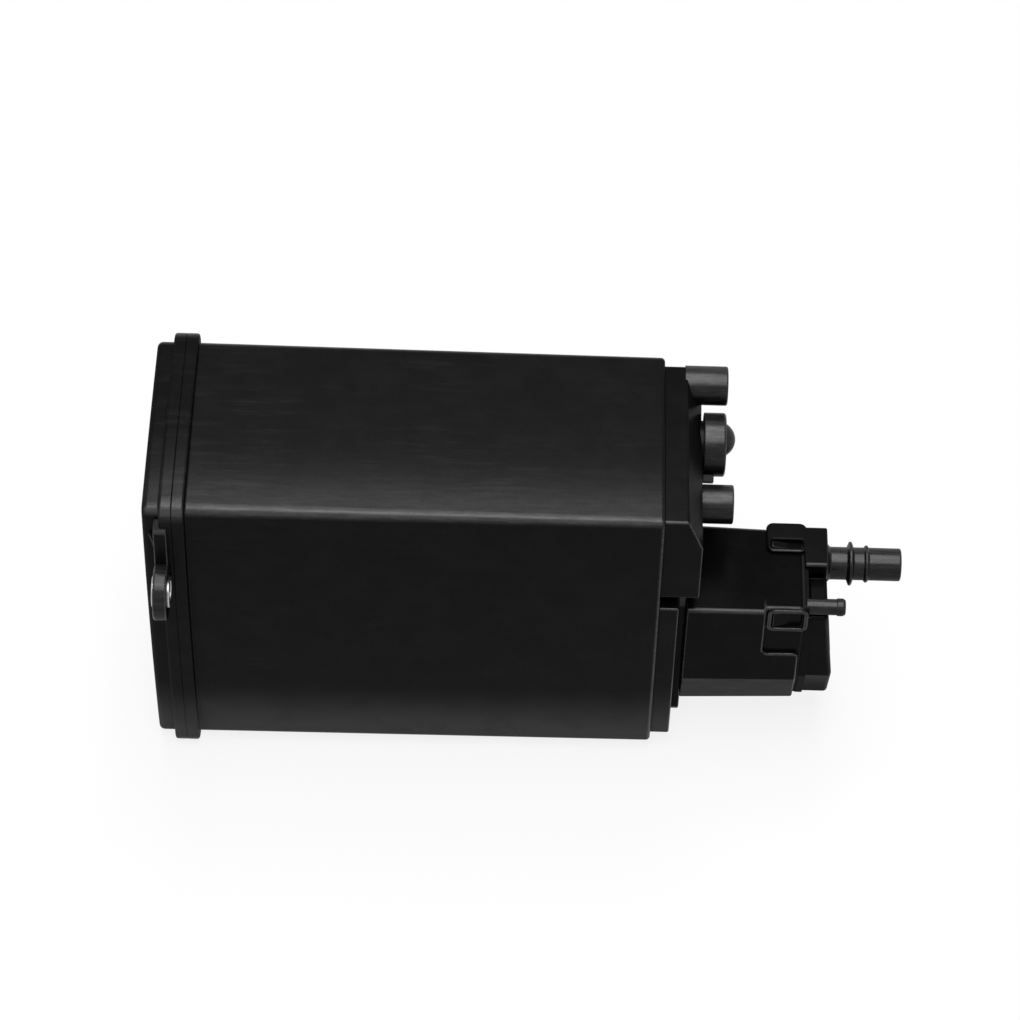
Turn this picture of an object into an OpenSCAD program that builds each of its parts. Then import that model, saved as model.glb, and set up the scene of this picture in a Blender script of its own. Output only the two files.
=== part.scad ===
// Charcoal canister for fuel vapour, lying on its narrow side.
// X runs along the shell from the end lid to the hose ports, Y runs away from the viewer, Z is up.
// Design coordinates: X = 0 is the weld plane, Y = Z = 0 is the shell's axis.
// at_base() then moves every piece so that the origin is the middle of the box's underside.

/* [Shell] */
// length of the shell from the weld plane to its port end
body_len = 182; // [150:1:220]
// shell width across Y, corner to corner
body_w = 85; // [75:1:95]
// shell height along Z, corner to corner
body_h = 140; // [125:1:160]
// outer corner radius at the weld plane
corner_r = 4.5; // [4:0.1:9]
// slope of the two large faces at their corners, which gives their crown
side_crown = 5; // [2:0.5:8]
// slope of the two narrow faces at their corners
top_crown = 3; // [1:0.5:6]
// mould draft along X
draft = 0.29; // [0.1:0.01:0.45]
// shell wall
wall = 2.6; // [2:0.1:3]

/* [Weld flange and lid] */
// how far the weld flange stands out of the shell
flange_out = 3.6; // [2.5:0.1:5]
// thickness of each half of the weld flange
flange_t = 4.7; // [3.5:0.1:6]
// depth of the lid from the weld plane to its end
lid_depth = 11.3; // [9:0.1:14]
// rounding of the lid's end edge
lid_edge = 2.2; // [1:0.1:2.5]

/* [Chambers] */
// height of the upper chamber, from the top corner plane to the middle of the partition
partition_drop = 49.3; // [46:0.1:56]
// thickness of the partition
partition_t = 2.2; // [1.8:0.1:3]
// where the partition starts, which leaves the crossover at the lid
partition_x = 10; // [6:0.5:12]
// back face of the two retainer plates
plate_x = 13; // [12.5:0.5:18]
// thickness of a retainer plate
plate_t = 3; // [2:0.5:5]
// thickness of the felts at the lid end
felt_t = 5; // [3:0.5:8]
// thickness of the foam pads at the port end
foam_t = 8; // [5:0.5:12]
// hole in a retainer plate
plate_hole_d = 6; // [4:0.5:7]
// hole pitch of a retainer plate
plate_pitch = 10; // [9:0.5:13]

/* [Springs] */
// outer diameter of a retainer spring
spring_d = 22; // [18:1:26]
// wire of a retainer spring
wire_d = 1.6; // [1.2:0.1:2.2]
// turns of a retainer spring
spring_turns = 5; // [4:1:7]
// distance of the main springs from the corner planes of the sides
spring_in = 22.5; // [20:0.5:27]

/* [Neck] */
// step from the shell's port end to the neck's sides
neck_inset = 3; // [2:0.25:5]
// length of the upper neck
neck_up = 14.7; // [12:0.1:18]
// length of the lower neck
neck_low = 7.4; // [6:0.1:9]
// open slot between the two necks
neck_slot = 6.7; // [5:0.1:10]
// run of the slanted upper edge along X
slant_run = 5.8; // [4:0.1:8]
// drop of the slanted upper edge along Z
slant_drop = 14; // [10:0.5:16]

/* [Fixing ear] */
// thickness of the ear
ear_t = 5.2; // [4:0.1:6]
// radius of the ear's eye
ear_r = 10.9; // [10:0.1:13]
// distance of the eye's centre from the shell's corner plane
ear_reach = 12; // [11.5:0.1:14]
// distance of the eye's centre below the top corner plane
ear_drop = 33; // [28:0.5:40]
// outer diameter of the steel bush
bush_d = 12; // [11:0.5:13]
// bore of the steel bush
bush_bore_d = 8.4; // [6.4:0.1:8.6]
// how far the bush stands out of the ear on each side
bush_proud = 0.8; // [0.3:0.1:1.2]
// thickness of the two gussets
gusset_t = 1.8; // [1.2:0.1:2.5]

/* [Threaded bosses] */
// diameter of the bosses
boss_d = 15; // [13:0.5:16]
// far boss, distance of its centre from the far corner plane
far_boss_in = 8; // [7:0.5:9]
// far boss, distance of its centre below the top corner plane
far_boss_drop = 10.5; // [10:0.5:12]
// near boss, distance of its centre from the far corner plane
near_boss_in = 45; // [44:0.5:50]
// near boss, distance of its centre below the top corner plane
near_boss_drop = 36.5; // [35.5:0.1:37.5]
// length of the far boss above the end of the upper neck
far_boss_len = 9.5; // [9:0.1:12]
// length of the near boss above the end of the upper neck
near_boss_len = 12.7; // [10:0.1:15]
// outer diameter of the brass inserts
insert_d = 8; // [7:0.1:9]
// threaded bore of the brass inserts
insert_bore_d = 5; // [4.2:0.1:5.5]
// length of the brass inserts
insert_len = 8; // [6:0.5:9]

/* [Breather] */
// breather stub, distance of its centre from the far corner plane
vent_in = 25.1; // [24.5:0.1:26]
// breather stub, distance of its centre below the top corner plane
vent_drop = 25; // [24.5:0.1:26]
// outer diameter of the breather cap
cap_d = 24.4; // [23:0.2:25]
// wall of the breather cap
cap_wall = 1.4; // [1:0.1:2]
// outer diameter of the breather stub
stub_d = 18; // [16:0.5:19]
// bore of the breather stub
stub_bore_d = 14; // [11:0.5:15]
// height of the breather stub above the neck
stub_len = 7; // [6:0.1:8]
// gap under the rim of the breather cap
cap_gap = 0.8; // [0.5:0.1:1.2]
// diameter of the dome on the breather cap
dome_d = 12.4; // [10:0.2:14]
// height of the dome on the breather cap
dome_h = 3.8; // [2.5:0.1:5]
// offset of the dome from the middle of the cap
dome_off = 2; // [0:0.1:3]
// height of the lug on the breather cap
lug_t = 4.2; // [3:0.1:5]
// width of the lug on the breather cap
lug_w = 4; // [3:0.1:5]

/* [Port housing] */
// distance of the housing's front wall from the near corner plane
house_in = 6; // [5:0.25:8]
// depth of the housing along Y
house_w = 41.2; // [38:0.2:45]
// top of the housing below the partition
house_drop = 7.7; // [6:0.1:9]
// height of the housing's underside above the bottom corner plane
house_rise = 19; // [16:0.5:26]
// length of the housing from its foot to its mouth
house_len = 47.5; // [43:0.5:56]
// thickness of the housing's foot
foot_t = 3.2; // [2.5:0.1:4]
// how far the foot reaches below the housing
foot_drop = 9; // [6:0.5:10]
// how far the foot stands back behind the front wall
foot_in = 3.5; // [2:0.5:6]
// housing wall
house_wall = 2.2; // [1.8:0.1:2.6]
// mould draft of the housing
house_draft = 1.2; // [0.5:0.1:1.5]
// height of the slanted lower front face
facet_h = 21; // [14:0.5:24]
// inset of the slanted lower front face
facet_in = 6.6; // [3:0.1:8]
// height of the notch in the front apron, in which the front loop lies
notch_w = 27; // [24:0.5:29]
// opening between housing and shell
passage_d = 20; // [14:1:24]

/* [Port cover] */
// thickness of the gasket between housing and cover
seal_t = 1; // [0.8:0.1:1.5]
// thickness of the cover's rim plate
rim_t = 3; // [2.5:0.1:4]
// how far the rim plate stands out of the housing
rim_out = 0; // [0:0.1:0.3]
// depth of the cover's dome
dome_len = 6.1; // [5.5:0.1:8]
// extra depth of the dome at its foot
dome_lean = 3.8; // [0:0.1:4.5]
// depth of the open corner beside the tank port
corner_y = 20.9; // [20:0.1:23]
// height of the open corner below the housing's top
corner_z = 6.8; // [6.6:0.1:8]
// thickness of the rim plate behind the open corner
corner_t = 1.6; // [1.4:0.1:2]
// length of the cover's plug in the housing
plug_len = 5; // [3:0.5:7]
// length of the snap loops
loop_len = 14.5; // [13.5:0.25:16]
// thickness of the snap loops
loop_t = 1.6; // [1.2:0.1:2]
// width of the front snap loop along Z
loop_w = 12.8; // [12:0.1:14]
// width of the bars of the snap loops
loop_bar = 1.8; // [1.4:0.1:2.2]
// corner radius of the snap loops
loop_r = 2.8; // [2:0.1:3.5]
// width of the top snap loop along Y
top_loop_w = 14; // [11:0.5:16]
// width of the slit in the top snap loop
slit_w = 4; // [3:0.5:5]

/* [Hose ports] */
// outer diameter of the tank port
port_d = 12.7; // [12:0.1:13]
// bore of the tank port
port_bore_d = 9.4; // [8:0.1:10]
// length of the tank port
port_len = 28.8; // [27:0.1:32]
// distance of the tank port below the housing's top
port_drop = 10; // [9.5:0.1:12]
// distance of the tank port from the housing's far face
port_in = 10.1; // [9:0.1:11]
// latch bead of the tank port, diameter
bead_d = 17; // [16:0.1:17.5]
// latch bead of the tank port, distance from the cover
bead_x = 9.2; // [8:0.1:10]
// second bead of the tank port, diameter
bead2_d = 14.4; // [13.6:0.1:15]
// second bead of the tank port, distance from the cover
bead2_x = 15.4; // [14.5:0.1:16.5]
// outer diameter of the purge nipple
nipple_d = 6.2; // [5.6:0.1:6.4]
// bore of the purge nipple
nipple_bore_d = 3.8; // [3:0.1:4]
// length of the purge nipple
nipple_len = 12.3; // [10:0.1:15]
// barb of the purge nipple, diameter
barb_d = 6.8; // [6.6:0.1:7]
// length of the barb
barb_len = 3.3; // [2.5:0.1:4]

/* [Fits] */
// gap between loose inner pieces and the wall
fit = 0.3; // [0.2:0.05:0.5]
// gap around a pressed metal piece
press = 0.05; // [0.03:0.01:0.1]

/* [Hidden] */
$fn = 64;
sliver = 0.02;
big = 400;
slope = tan(draft);
chamber_x1 = body_len - wall;
neck_e = -slope * body_len - neck_inset;
up_end = body_len + neck_up;
low_end = body_len + neck_low;
top_z = body_h / 2;
side_y = body_w / 2;
spring_y = side_y - spring_in;
partition_z = top_z - partition_drop;
main_top = partition_z - partition_t / 2;
vent_bottom = partition_z + partition_t / 2;
up_z0 = partition_z + neck_slot / 2;
low_z1 = partition_z - neck_slot / 2;
slant_z = top_z + neck_e;
carbon_x0 = plate_x + plate_t + felt_t;
carbon_x1 = chamber_x1 - foam_t;
lid_in = wall - lid_depth;
main_mid = (main_top - top_z + wall) / 2;
vent_mid = (vent_bottom + top_z - wall) / 2;
post_r = spring_d / 2 - wire_d - fit;
ear_y = -side_y - ear_reach;
ear_z = top_z - ear_drop;
ear_x0 = -1.7 - ear_t;
far_boss_y = side_y - far_boss_in;
far_boss_z = top_z - far_boss_drop;
near_boss_y = side_y - near_boss_in;
near_boss_z = top_z - near_boss_drop;
vent_y = side_y - vent_in;
vent_z = top_z - vent_drop;
cap_x0 = up_end + cap_gap;
cap_in = up_end + stub_len + 0.8;
cap_x1 = cap_in + cap_wall;
house_y0 = house_in - side_y;
house_y1 = house_y0 + house_w;
house_z1 = partition_z - house_drop;
house_z0 = house_rise - top_z;
house_x0 = low_end + foot_t;
house_x1 = low_end + house_len;
house_slope = tan(house_draft);
loop_gap = 0.2;
apron_t = loop_t + loop_gap;
mouth_e = -house_slope * (house_x1 - house_x0);
rim_x0 = house_x1 + seal_t;
rim_x1 = rim_x0 + rim_t;
dome_x1 = rim_x1 + dome_len;
rim_e = mouth_e + rim_out;
loop_e = loop_gap - house_slope * (rim_x0 - loop_len - house_x0);
loop_up = 0.4;
loop_top = house_z1 + loop_up;
top_loop_y = house_y1 + loop_up - top_loop_w / 2;
slit_y = top_loop_y - top_loop_w / 2 + loop_bar + slit_w / 2;
catch_run = 3;
catch_x = rim_x0 - loop_len + loop_bar + 0.4 + catch_run;
notch_x = rim_x0 - loop_len - 0.4;
notch_z = house_z1 - notch_w;
notch_r = 2.4;
block_z1 = house_z1 + loop_e + loop_t;
passage_y = (house_y0 + house_y1) / 2;
passage_z = (house_z0 + house_z1) / 2;
port_y = house_y1 - port_in;
port_z = house_z1 - port_drop;
nipple_y = house_y0 + 4.5;
nipple_z = house_z1 - 3.4;
box_x0 = -lid_depth;
box_x1 = dome_x1 + port_len;
box_y0 = ear_y - ear_r;
box_y1 = crest(body_w, body_h, side_crown) + flange_out;
box_z0 = -crest(body_h, body_w, top_crown) - flange_out;

// farthest point of a crowned face from the axis: a is the size across, b the size along the face
function crest(a, b, c) = a / 2 - corner_r + corner_r * cos(c)
    + ((b / 2 - corner_r) / sin(c) + corner_r) * (1 - cos(c));

// points of an arc round [y, z], without its last point
function arc(y, z, r, a0, a1, n) = [for (i = [0:n - 1])
    let (a = a0 + (a1 - a0) * i / n) [y + r * cos(a), z + r * sin(a)]];

// outline of the shell, moved outward by e: four crowned faces and four corners, all tangent
function outline(e) = let (
    r = max(corner_r + e, 0.6),
    yc = body_w / 2 + e - r,
    zc = body_h / 2 + e - r,
    s = side_crown,
    t = top_crown,
    ys = yc - zc / tan(s),
    zs = zc - yc / tan(t),
    rs = zc / sin(s) + r,
    rt = yc / sin(t) + r)
    concat(
        arc(yc, zc, r, s, 90 - t, 6),
        arc(0, zs, rt, 90 - t, 90 + t, 8),
        arc(-yc, zc, r, 90 + t, 180 - s, 6),
        arc(-ys, 0, rs, 180 - s, 180 + s, 12),
        arc(-yc, -zc, r, 180 + s, 270 - t, 6),
        arc(0, -zs, rt, 270 - t, 270 + t, 8),
        arc(yc, -zc, r, 270 + t, 360 - s, 6),
        arc(ys, 0, rs, -s, s, 12));

// unit vector from p to q
function unit(p, q) = (q - p) / norm(q - p);

// points of a convex outline with every corner rounded to r
function rounded(pts, r, n) = [for (i = [0:len(pts) - 1])
    let (
        p = pts[i],
        u = unit(p, pts[(i + len(pts) - 1) % len(pts)]),
        v = unit(p, pts[(i + 1) % len(pts)]),
        h = acos(u * v) / 2,
        c = p + unit([0, 0], u + v) * r / sin(h),
        a = unit(c, p + u * r / tan(h)),
        b = unit(c, p + v * r / tan(h)))
    for (k = [0:n]) c + unit([0, 0], a * (1 - k / n) + b * k / n) * r];

// outline of the port housing, moved outward by e
function house_outline(e) = [
    [house_y0 - e, house_z1 + e],
    [house_y0 - e, house_z0 + facet_h],
    [house_y0 + facet_in - e, house_z0 - e],
    [house_y1 + e, house_z0 - e],
    [house_y1 + e, house_z1 + e]];

// places a flat drawing, made in Y and Z, across the X axis
module across(x) {
    translate([x, 0, 0]) rotate([90, 0, 90]) children();
}

// a round piece along X
module rod(x0, x1, y, z, r) {
    translate([x0, y, z]) rotate([0, 90, 0]) cylinder(h = x1 - x0, r = r);
}

// turns a profile of [radius, X] points round an axis along X
module lathe(y, z, pts) {
    translate([0, y, z]) rotate([0, 90, 0]) rotate_extrude() polygon(pts);
}

// the shell's outline as a flat drawing
module skin(e) {
    polygon(outline(e));
}

// the part of the shell's outline above z0 and below z1
module band(e, z0, z1) {
    intersection() {
        skin(e);
        translate([-big / 2, z0]) square([big, z1 - z0]);
    }
}

// a band of the shell with the mould draft, from x0 to x1
module drafted(x0, x1, e, z0, z1) {
    hull() {
        across(x0) linear_extrude(sliver) band(e - slope * x0, z0, z1);
        across(x1 - sliver) linear_extrude(sliver) band(e - slope * x1, z0, z1);
    }
}

// the corner that the slanted upper edge takes off the neck, moved inward by e
module slant_cut(e) {
    x0 = up_end - slant_run - e;
    z0 = slant_z - e * slant_run / slant_drop;
    rotate([90, 0, 0])
        linear_extrude(big, center = true)
            polygon([
                [x0 - slant_run, z0 + slant_drop],
                [x0 + 2 * slant_run, z0 - 2 * slant_drop],
                [x0 + big, z0 - 2 * slant_drop],
                [x0 + big, z0 + slant_drop]]);
}

// the two necks on the port end
module necks() {
    difference() {
        across(chamber_x1) linear_extrude(up_end - chamber_x1) band(neck_e, up_z0, big / 2);
        slant_cut(0);
    }
    across(chamber_x1) linear_extrude(low_end - chamber_x1) band(neck_e, -big / 2, low_z1);
}

// the plenums inside the necks, with the ribs that hold the foam pads
module plenums() {
    difference() {
        across(chamber_x1 - sliver)
            linear_extrude(neck_up + sliver)
                band(neck_e - wall, up_z0 + wall, big / 2);
        slant_cut(wall);
        for (y = [-body_w / 4, -body_w / 16])
            translate([chamber_x1, y - 1, 0]) cube([neck_up / 2, 2, top_z]);
    }
    difference() {
        across(chamber_x1 - sliver)
            linear_extrude(neck_low + sliver)
                band(neck_e - wall, -big / 2, low_z1 - wall);
        for (y = [body_w / 16, body_w / 4])
            translate([chamber_x1, y - 1, -top_z]) cube([neck_low / 2, 2, body_h]);
    }
}

// one moulded shell: two chambers, weld flange, necks, bosses and breather stub
module canister_body() {
    color([0.05, 0.05, 0.05])
        difference() {
            union() {
                drafted(0, body_len, 0, -big / 2, big / 2);
                across(0) linear_extrude(flange_t) skin(flange_out);
                necks();
                rod(up_end - slant_run - 1, up_end + far_boss_len, far_boss_y, far_boss_z, boss_d / 2);
                rod(up_end - 1, up_end + near_boss_len, near_boss_y, near_boss_z, boss_d / 2);
                rod(up_end - 1, up_end + stub_len, vent_y, vent_z, stub_d / 2);
            }
            drafted(-sliver, chamber_x1, -wall, -big / 2, main_top);
            drafted(-sliver, chamber_x1, -wall, vent_bottom, big / 2);
            across(-sliver)
                linear_extrude(partition_x + sliver)
                    band(-wall - slope * partition_x, main_top - 1, vent_bottom + 1);
            plenums();
            rod(up_end - 2 * wall, up_end + stub_len + 1, vent_y, vent_z, stub_bore_d / 2 - 1.5);
            rod(up_end + 0.5, up_end + stub_len + 1, vent_y, vent_z, stub_bore_d / 2);
            rod(low_end - 2 * wall, low_end + 1, passage_y, passage_z, passage_d / 2);
            rod(up_end + far_boss_len - insert_len, up_end + far_boss_len + 1, far_boss_y, far_boss_z,
                insert_d / 2 + press);
            rod(up_end + near_boss_len - insert_len, up_end + near_boss_len + 1, near_boss_y, near_boss_z,
                insert_d / 2 + press);
        }
}

// the flat drawing of the fixing ear: an eye and the web that carries it
module ear_profile() {
    difference() {
        union() {
            translate([ear_y, ear_z]) circle(r = ear_r);
            polygon([
                [-side_y + 2, top_z - corner_r],
                [-side_y - 5.5, top_z - corner_r - 2],
                [-side_y - 7, ear_z + ear_r - 1.5],
                [ear_y, ear_z + ear_r - 2.5],
                [ear_y, ear_z - ear_r + 0.5],
                [-side_y + 2, ear_z - ear_r - 6]]);
        }
        skin(-wall / 2);
        translate([ear_y, ear_z]) circle(r = bush_d / 2 + press);
    }
}

// one gusset between the lid's end and the ear, at height z
module gusset(z, reach) {
    translate([0, 0, z - gusset_t / 2])
        linear_extrude(gusset_t)
            polygon([
                [lid_edge - lid_depth, -side_y],
                [ear_x0 + 1, -side_y],
                [ear_x0 + 1, -side_y - reach],
                [ear_x0, -side_y - reach],
                [lid_edge - lid_depth, -side_y - 1]]);
}

// the posts on the lid that the springs sit on
module posts() {
    for (p = [[-spring_y, main_mid], [spring_y, main_mid], [0, vent_mid]])
        rod(lid_in - 0.5, lid_in + 6, p[0], p[1], post_r);
}

// a slice of the lid's rounded end edge: depths d0 and d1 from its end, insets e0 and e1
module lid_taper(d0, e0, d1, e1) {
    hull() {
        across(d0 - lid_depth - sliver) linear_extrude(sliver) skin(-e0);
        across(d1 - lid_depth) linear_extrude(sliver) skin(-e1);
    }
}

// the lid that closes the shell, welded on
module end_lid() {
    color([0.05, 0.05, 0.05])
        union() {
            difference() {
                union() {
                    across(-flange_t) linear_extrude(flange_t) skin(flange_out);
                    across(lid_edge - lid_depth) linear_extrude(lid_depth - lid_edge - flange_t / 2) skin(0);
                    lid_taper(lid_edge, 0, 0.3 * lid_edge, 0.3 * lid_edge);
                    lid_taper(0.3 * lid_edge, 0.3 * lid_edge, 0, lid_edge);
                    across(ear_x0) linear_extrude(ear_t) ear_profile();
                    gusset(ear_z + 20, 5.8);
                    gusset(ear_z - 7, 7);
                }
                across(lid_in) linear_extrude(lid_depth) skin(-wall);
            }
            posts();
        }
}

// the two beds of carbon granules
module main_carbon() {
    color([0.12, 0.12, 0.12]) drafted(carbon_x0, carbon_x1, -wall - fit, -big / 2, main_top - fit);
}

module vent_carbon() {
    color([0.12, 0.12, 0.12]) drafted(carbon_x0, carbon_x1, -wall - fit, vent_bottom + fit, big / 2);
}

// a flat pad of one chamber, cut to the shell's outline at its narrow end
module pad(x0, t, z0, z1) {
    across(x0) linear_extrude(t) band(-wall - fit - slope * (x0 + t), z0, z1);
}

module main_port_foam() {
    color([0.25, 0.25, 0.22]) pad(carbon_x1, foam_t, -big / 2, main_top - fit);
}

module vent_port_foam() {
    color([0.25, 0.25, 0.22]) pad(carbon_x1, foam_t, vent_bottom + fit, big / 2);
}

module main_lid_felt() {
    color([0.75, 0.73, 0.68]) pad(plate_x + plate_t, felt_t, -big / 2, main_top - fit);
}

module vent_lid_felt() {
    color([0.75, 0.73, 0.68]) pad(plate_x + plate_t, felt_t, vent_bottom + fit, big / 2);
}

// rows of holes through a plate, inside the window from z0 to z1
module plate_holes(z0, z1) {
    ny = floor((side_y - wall - 1 - plate_hole_d) / plate_pitch);
    nz = floor((z1 - z0) / plate_pitch);
    for (i = [-ny:ny], k = [0:nz])
        rod(plate_x - 1, plate_x + plate_t + 1, i * plate_pitch,
            (z0 + z1) / 2 + (k - nz / 2) * plate_pitch, plate_hole_d / 2);
}

// perforated plates that the springs press on the felts
module main_plate() {
    color([0.2, 0.2, 0.2])
        difference() {
            pad(plate_x, plate_t, -big / 2, main_top - fit);
            plate_holes(-top_z + wall + plate_hole_d + 1, main_top - plate_hole_d - 1);
        }
}

module vent_plate() {
    color([0.2, 0.2, 0.2])
        difference() {
            pad(plate_x, plate_t, vent_bottom + fit, big / 2);
            plate_holes(vent_bottom + plate_hole_d + 1, top_z - wall - plate_hole_d - 1);
        }
}

// a coil of round wire between the lid and a plate
module spring(y, z) {
    steps = spring_turns * 20;
    sides = 8;
    rw = wire_d / 2;
    rc = spring_d / 2 - rw;
    run = plate_x - lid_in - wire_d;
    pts = [for (i = [0:steps], k = [0:sides - 1])
        let (a = 360 * spring_turns * i / steps, b = 360 * k / sides, q = rc + rw * cos(b))
        [lid_in + rw + run * i / steps + rw * sin(b), y + q * cos(a), z + q * sin(a)]];
    skin_faces = [for (i = [0:steps - 1], k = [0:sides - 1])
        let (j = (k + 1) % sides)
        [i * sides + k, i * sides + j, (i + 1) * sides + j, (i + 1) * sides + k]];
    first = [for (k = [0:sides - 1]) sides - 1 - k];
    last = [for (k = [0:sides - 1]) steps * sides + k];
    polyhedron(pts, concat([first, last], skin_faces));
}

module main_spring_near() {
    color([0.7, 0.7, 0.72]) spring(-spring_y, main_mid);
}

module main_spring_far() {
    color([0.7, 0.7, 0.72]) spring(spring_y, main_mid);
}

module vent_spring() {
    color([0.7, 0.7, 0.72]) spring(0, vent_mid);
}

// steel bush in the ear's eye
module ear_bush() {
    color([0.75, 0.75, 0.77])
        difference() {
            rod(ear_x0 - bush_proud, ear_x0 + ear_t + bush_proud, ear_y, ear_z, bush_d / 2);
            rod(ear_x0 - bush_proud - 1, ear_x0 + ear_t + bush_proud + 1, ear_y, ear_z, bush_bore_d / 2);
        }
}

// one brass insert whose outer end is at x
module insert(x, y, z) {
    difference() {
        rod(x - insert_len, x, y, z, insert_d / 2);
        rod(x - insert_len - 1, x + 1, y, z, insert_bore_d / 2);
    }
}

module boss_inserts() {
    color([0.78, 0.6, 0.28])
        union() {
            insert(up_end + far_boss_len, far_boss_y, far_boss_z);
            insert(up_end + near_boss_len, near_boss_y, near_boss_z);
        }
}

// breather cap: its skirt hangs round the stub and three feet stand on the stub's rim
module vent_cap() {
    dome_r = (pow(dome_d / 2, 2) + pow(dome_h, 2)) / (2 * dome_h);
    lug = atan2(near_boss_z - vent_z, near_boss_y - vent_y);
    gap = norm([near_boss_y - vent_y, near_boss_z - vent_z]) - boss_d / 2 - fit;
    color([0.06, 0.06, 0.06])
        union() {
            lathe(vent_y, vent_z, [
                [0, cap_in],
                [cap_d / 2 - cap_wall, cap_in],
                [cap_d / 2 - cap_wall, cap_x0],
                [cap_d / 2, cap_x0],
                [cap_d / 2, cap_x1 - 0.8],
                [cap_d / 2 - 0.8, cap_x1],
                [0, cap_x1]]);
            for (a = [30:120:270])
                across(up_end + stub_len)
                    linear_extrude(cap_in - up_end - stub_len + 0.2)
                        translate([vent_y, vent_z])
                            rotate(a)
                                translate([stub_bore_d / 2 + 0.3, -1.5])
                                    square([(stub_d - stub_bore_d) / 2 - 0.6, 3]);
            lathe(vent_y + dome_off * 0.78, vent_z + dome_off * 0.63, concat(
                [[0, cap_x1 - 0.5], [dome_d / 2, cap_x1 - 0.5]],
                [for (i = [0:8])
                    let (a = asin(dome_d / 2 / dome_r) * (1 - i / 8))
                    [dome_r * sin(a), cap_x1 + dome_h - dome_r + dome_r * cos(a)]]));
            translate([cap_x0, vent_y, vent_z])
                rotate([lug, 0, 0])
                    translate([0, cap_d / 2 - cap_wall / 2, -lug_w / 2])
                        cube([lug_t, gap - cap_d / 2 + cap_wall / 2 - 0.4, lug_w]);
        }
}

// foam disc in the breather stub
module vent_filter() {
    color([0.3, 0.3, 0.27]) rod(up_end + 0.5, up_end + stub_len - 1.5, vent_y, vent_z, stub_bore_d / 2 - press);
}

// the housing's outline, rounded, moved outward by e
module house_skin(e, r) {
    polygon(rounded(house_outline(e), r, 5));
}

// a drafted block of the housing's outline, e at its foot
module house_block(x0, x1, e, r) {
    hull() {
        across(x0) linear_extrude(sliver) house_skin(e - house_slope * (x0 - house_x0), r);
        across(x1 - sliver) linear_extrude(sliver) house_skin(e - house_slope * (x1 - house_x0), r);
    }
}

// the catch that one snap loop drops over: a wedge rising away from the cover
module catch(run, high, wide) {
    rotate([90, 0, 0])
        linear_extrude(wide, center = true)
            polygon([[-run, -1.5], [run, -1.5], [run, 0.4], [-run, high], [-run, 0]]);
}

// thick front of the housing, with the round-cornered notch that the front loop lies flush in
module apron() {
    r = notch_r;
    difference() {
        translate([0, -apron_t, 0]) house_block(house_x0, house_x1, 0, 2.5);
        rotate([90, 0, 0])
            linear_extrude(2 * big, center = true)
                polygon(concat(
                    [[notch_x, big]],
                    [for (a = [180:15:270]) [notch_x + r, notch_z + r] + r * [cos(a), sin(a)]],
                    [for (a = [90:-15:0]) [house_x1 - r, notch_z - r] + r * [cos(a), sin(a)]],
                    [[house_x1 + 1, notch_z - r], [house_x1 + 1, big]]));
    }
}

// box that carries the hose ports, welded on the lower neck
module port_housing() {
    side_e = -house_slope * (catch_x - house_x0);
    color([0.05, 0.05, 0.05])
        difference() {
            union() {
                across(low_end)
                    linear_extrude(foot_t)
                        polygon(rounded([
                            [house_y0 + foot_in, house_z1],
                            [house_y0 + foot_in, house_z0 - foot_drop],
                            [house_y1, house_z0 - foot_drop],
                            [house_y1, house_z1]], 5, 6));
                house_block(house_x0 - sliver, house_x1, 0, 2.5);
                apron();
                translate([catch_x, house_y0 - side_e, loop_top - loop_w / 2])
                    rotate([90, 0, 0])
                        catch(catch_run, loop_t, loop_w - 2 * loop_bar - 1);
                translate([catch_x, slit_y, house_z1 + side_e])
                    catch(catch_run, loop_t, slit_w - 0.8);
            }
            house_block(house_x0, house_x1 + 1, -house_wall, 1);
            rod(low_end - 1, house_x0 + 1, passage_y, passage_z, passage_d / 2);
        }
}

// gasket between the housing's mouth and the cover
module cover_seal() {
    color([0.1, 0.1, 0.1])
        across(house_x1)
            linear_extrude(seal_t)
                difference() {
                    house_skin(mouth_e - 0.2, 2.3);
                    house_skin(mouth_e - house_wall + 0.1, 1);
                }
}

// the dome of the cover as a side view in X and Z, moved inward by e
module dome_side(e) {
    rotate([90, 0, 0])
        linear_extrude(big, center = true)
            polygon([
                [rim_x0 - big, house_z1 + big],
                [dome_x1 - e, house_z1 + big],
                [dome_x1 - e, house_z1 - corner_z - 4],
                [dome_x1 + dome_lean - e, house_z0 + facet_h],
                [dome_x1 + dome_lean - e, house_z0 - big],
                [rim_x0 - big, house_z0 - big]]);
}

// the dome of the cover: full outline without the open corner, moved inward by e
module dome_form(x0, e) {
    intersection() {
        across(x0)
            linear_extrude(dome_x1 + dome_lean + 1 - x0)
                difference() {
                    house_skin(mouth_e - 0.6 - e, 2.2);
                    translate([house_y0 - big + corner_y + e, house_z1 - corner_z - e])
                        square([big, big]);
                }
        dome_side(e);
    }
}

// a snap loop lying flat: it reaches from x = -loop_len to its root on the rim, with a window from w0 to w1 across
module loop(wide, w0, w1) {
    x0 = -loop_len;
    root = loop_e - rim_e + 0.6;
    linear_extrude(loop_t)
        difference() {
            polygon(rounded([[x0, -wide / 2], [x0, wide / 2], [1.2, wide / 2], [1.2, -wide / 2]], loop_r, 5));
            polygon(rounded([[x0 + loop_bar, w0], [x0 + loop_bar, w1], [-0.6, w1], [-0.6, w0]], loop_r - loop_bar, 4));
        }
    translate([0, loop_r - wide / 2, -root]) cube([1.2, wide - 2 * loop_r, root + loop_t / 2]);
}

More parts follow.
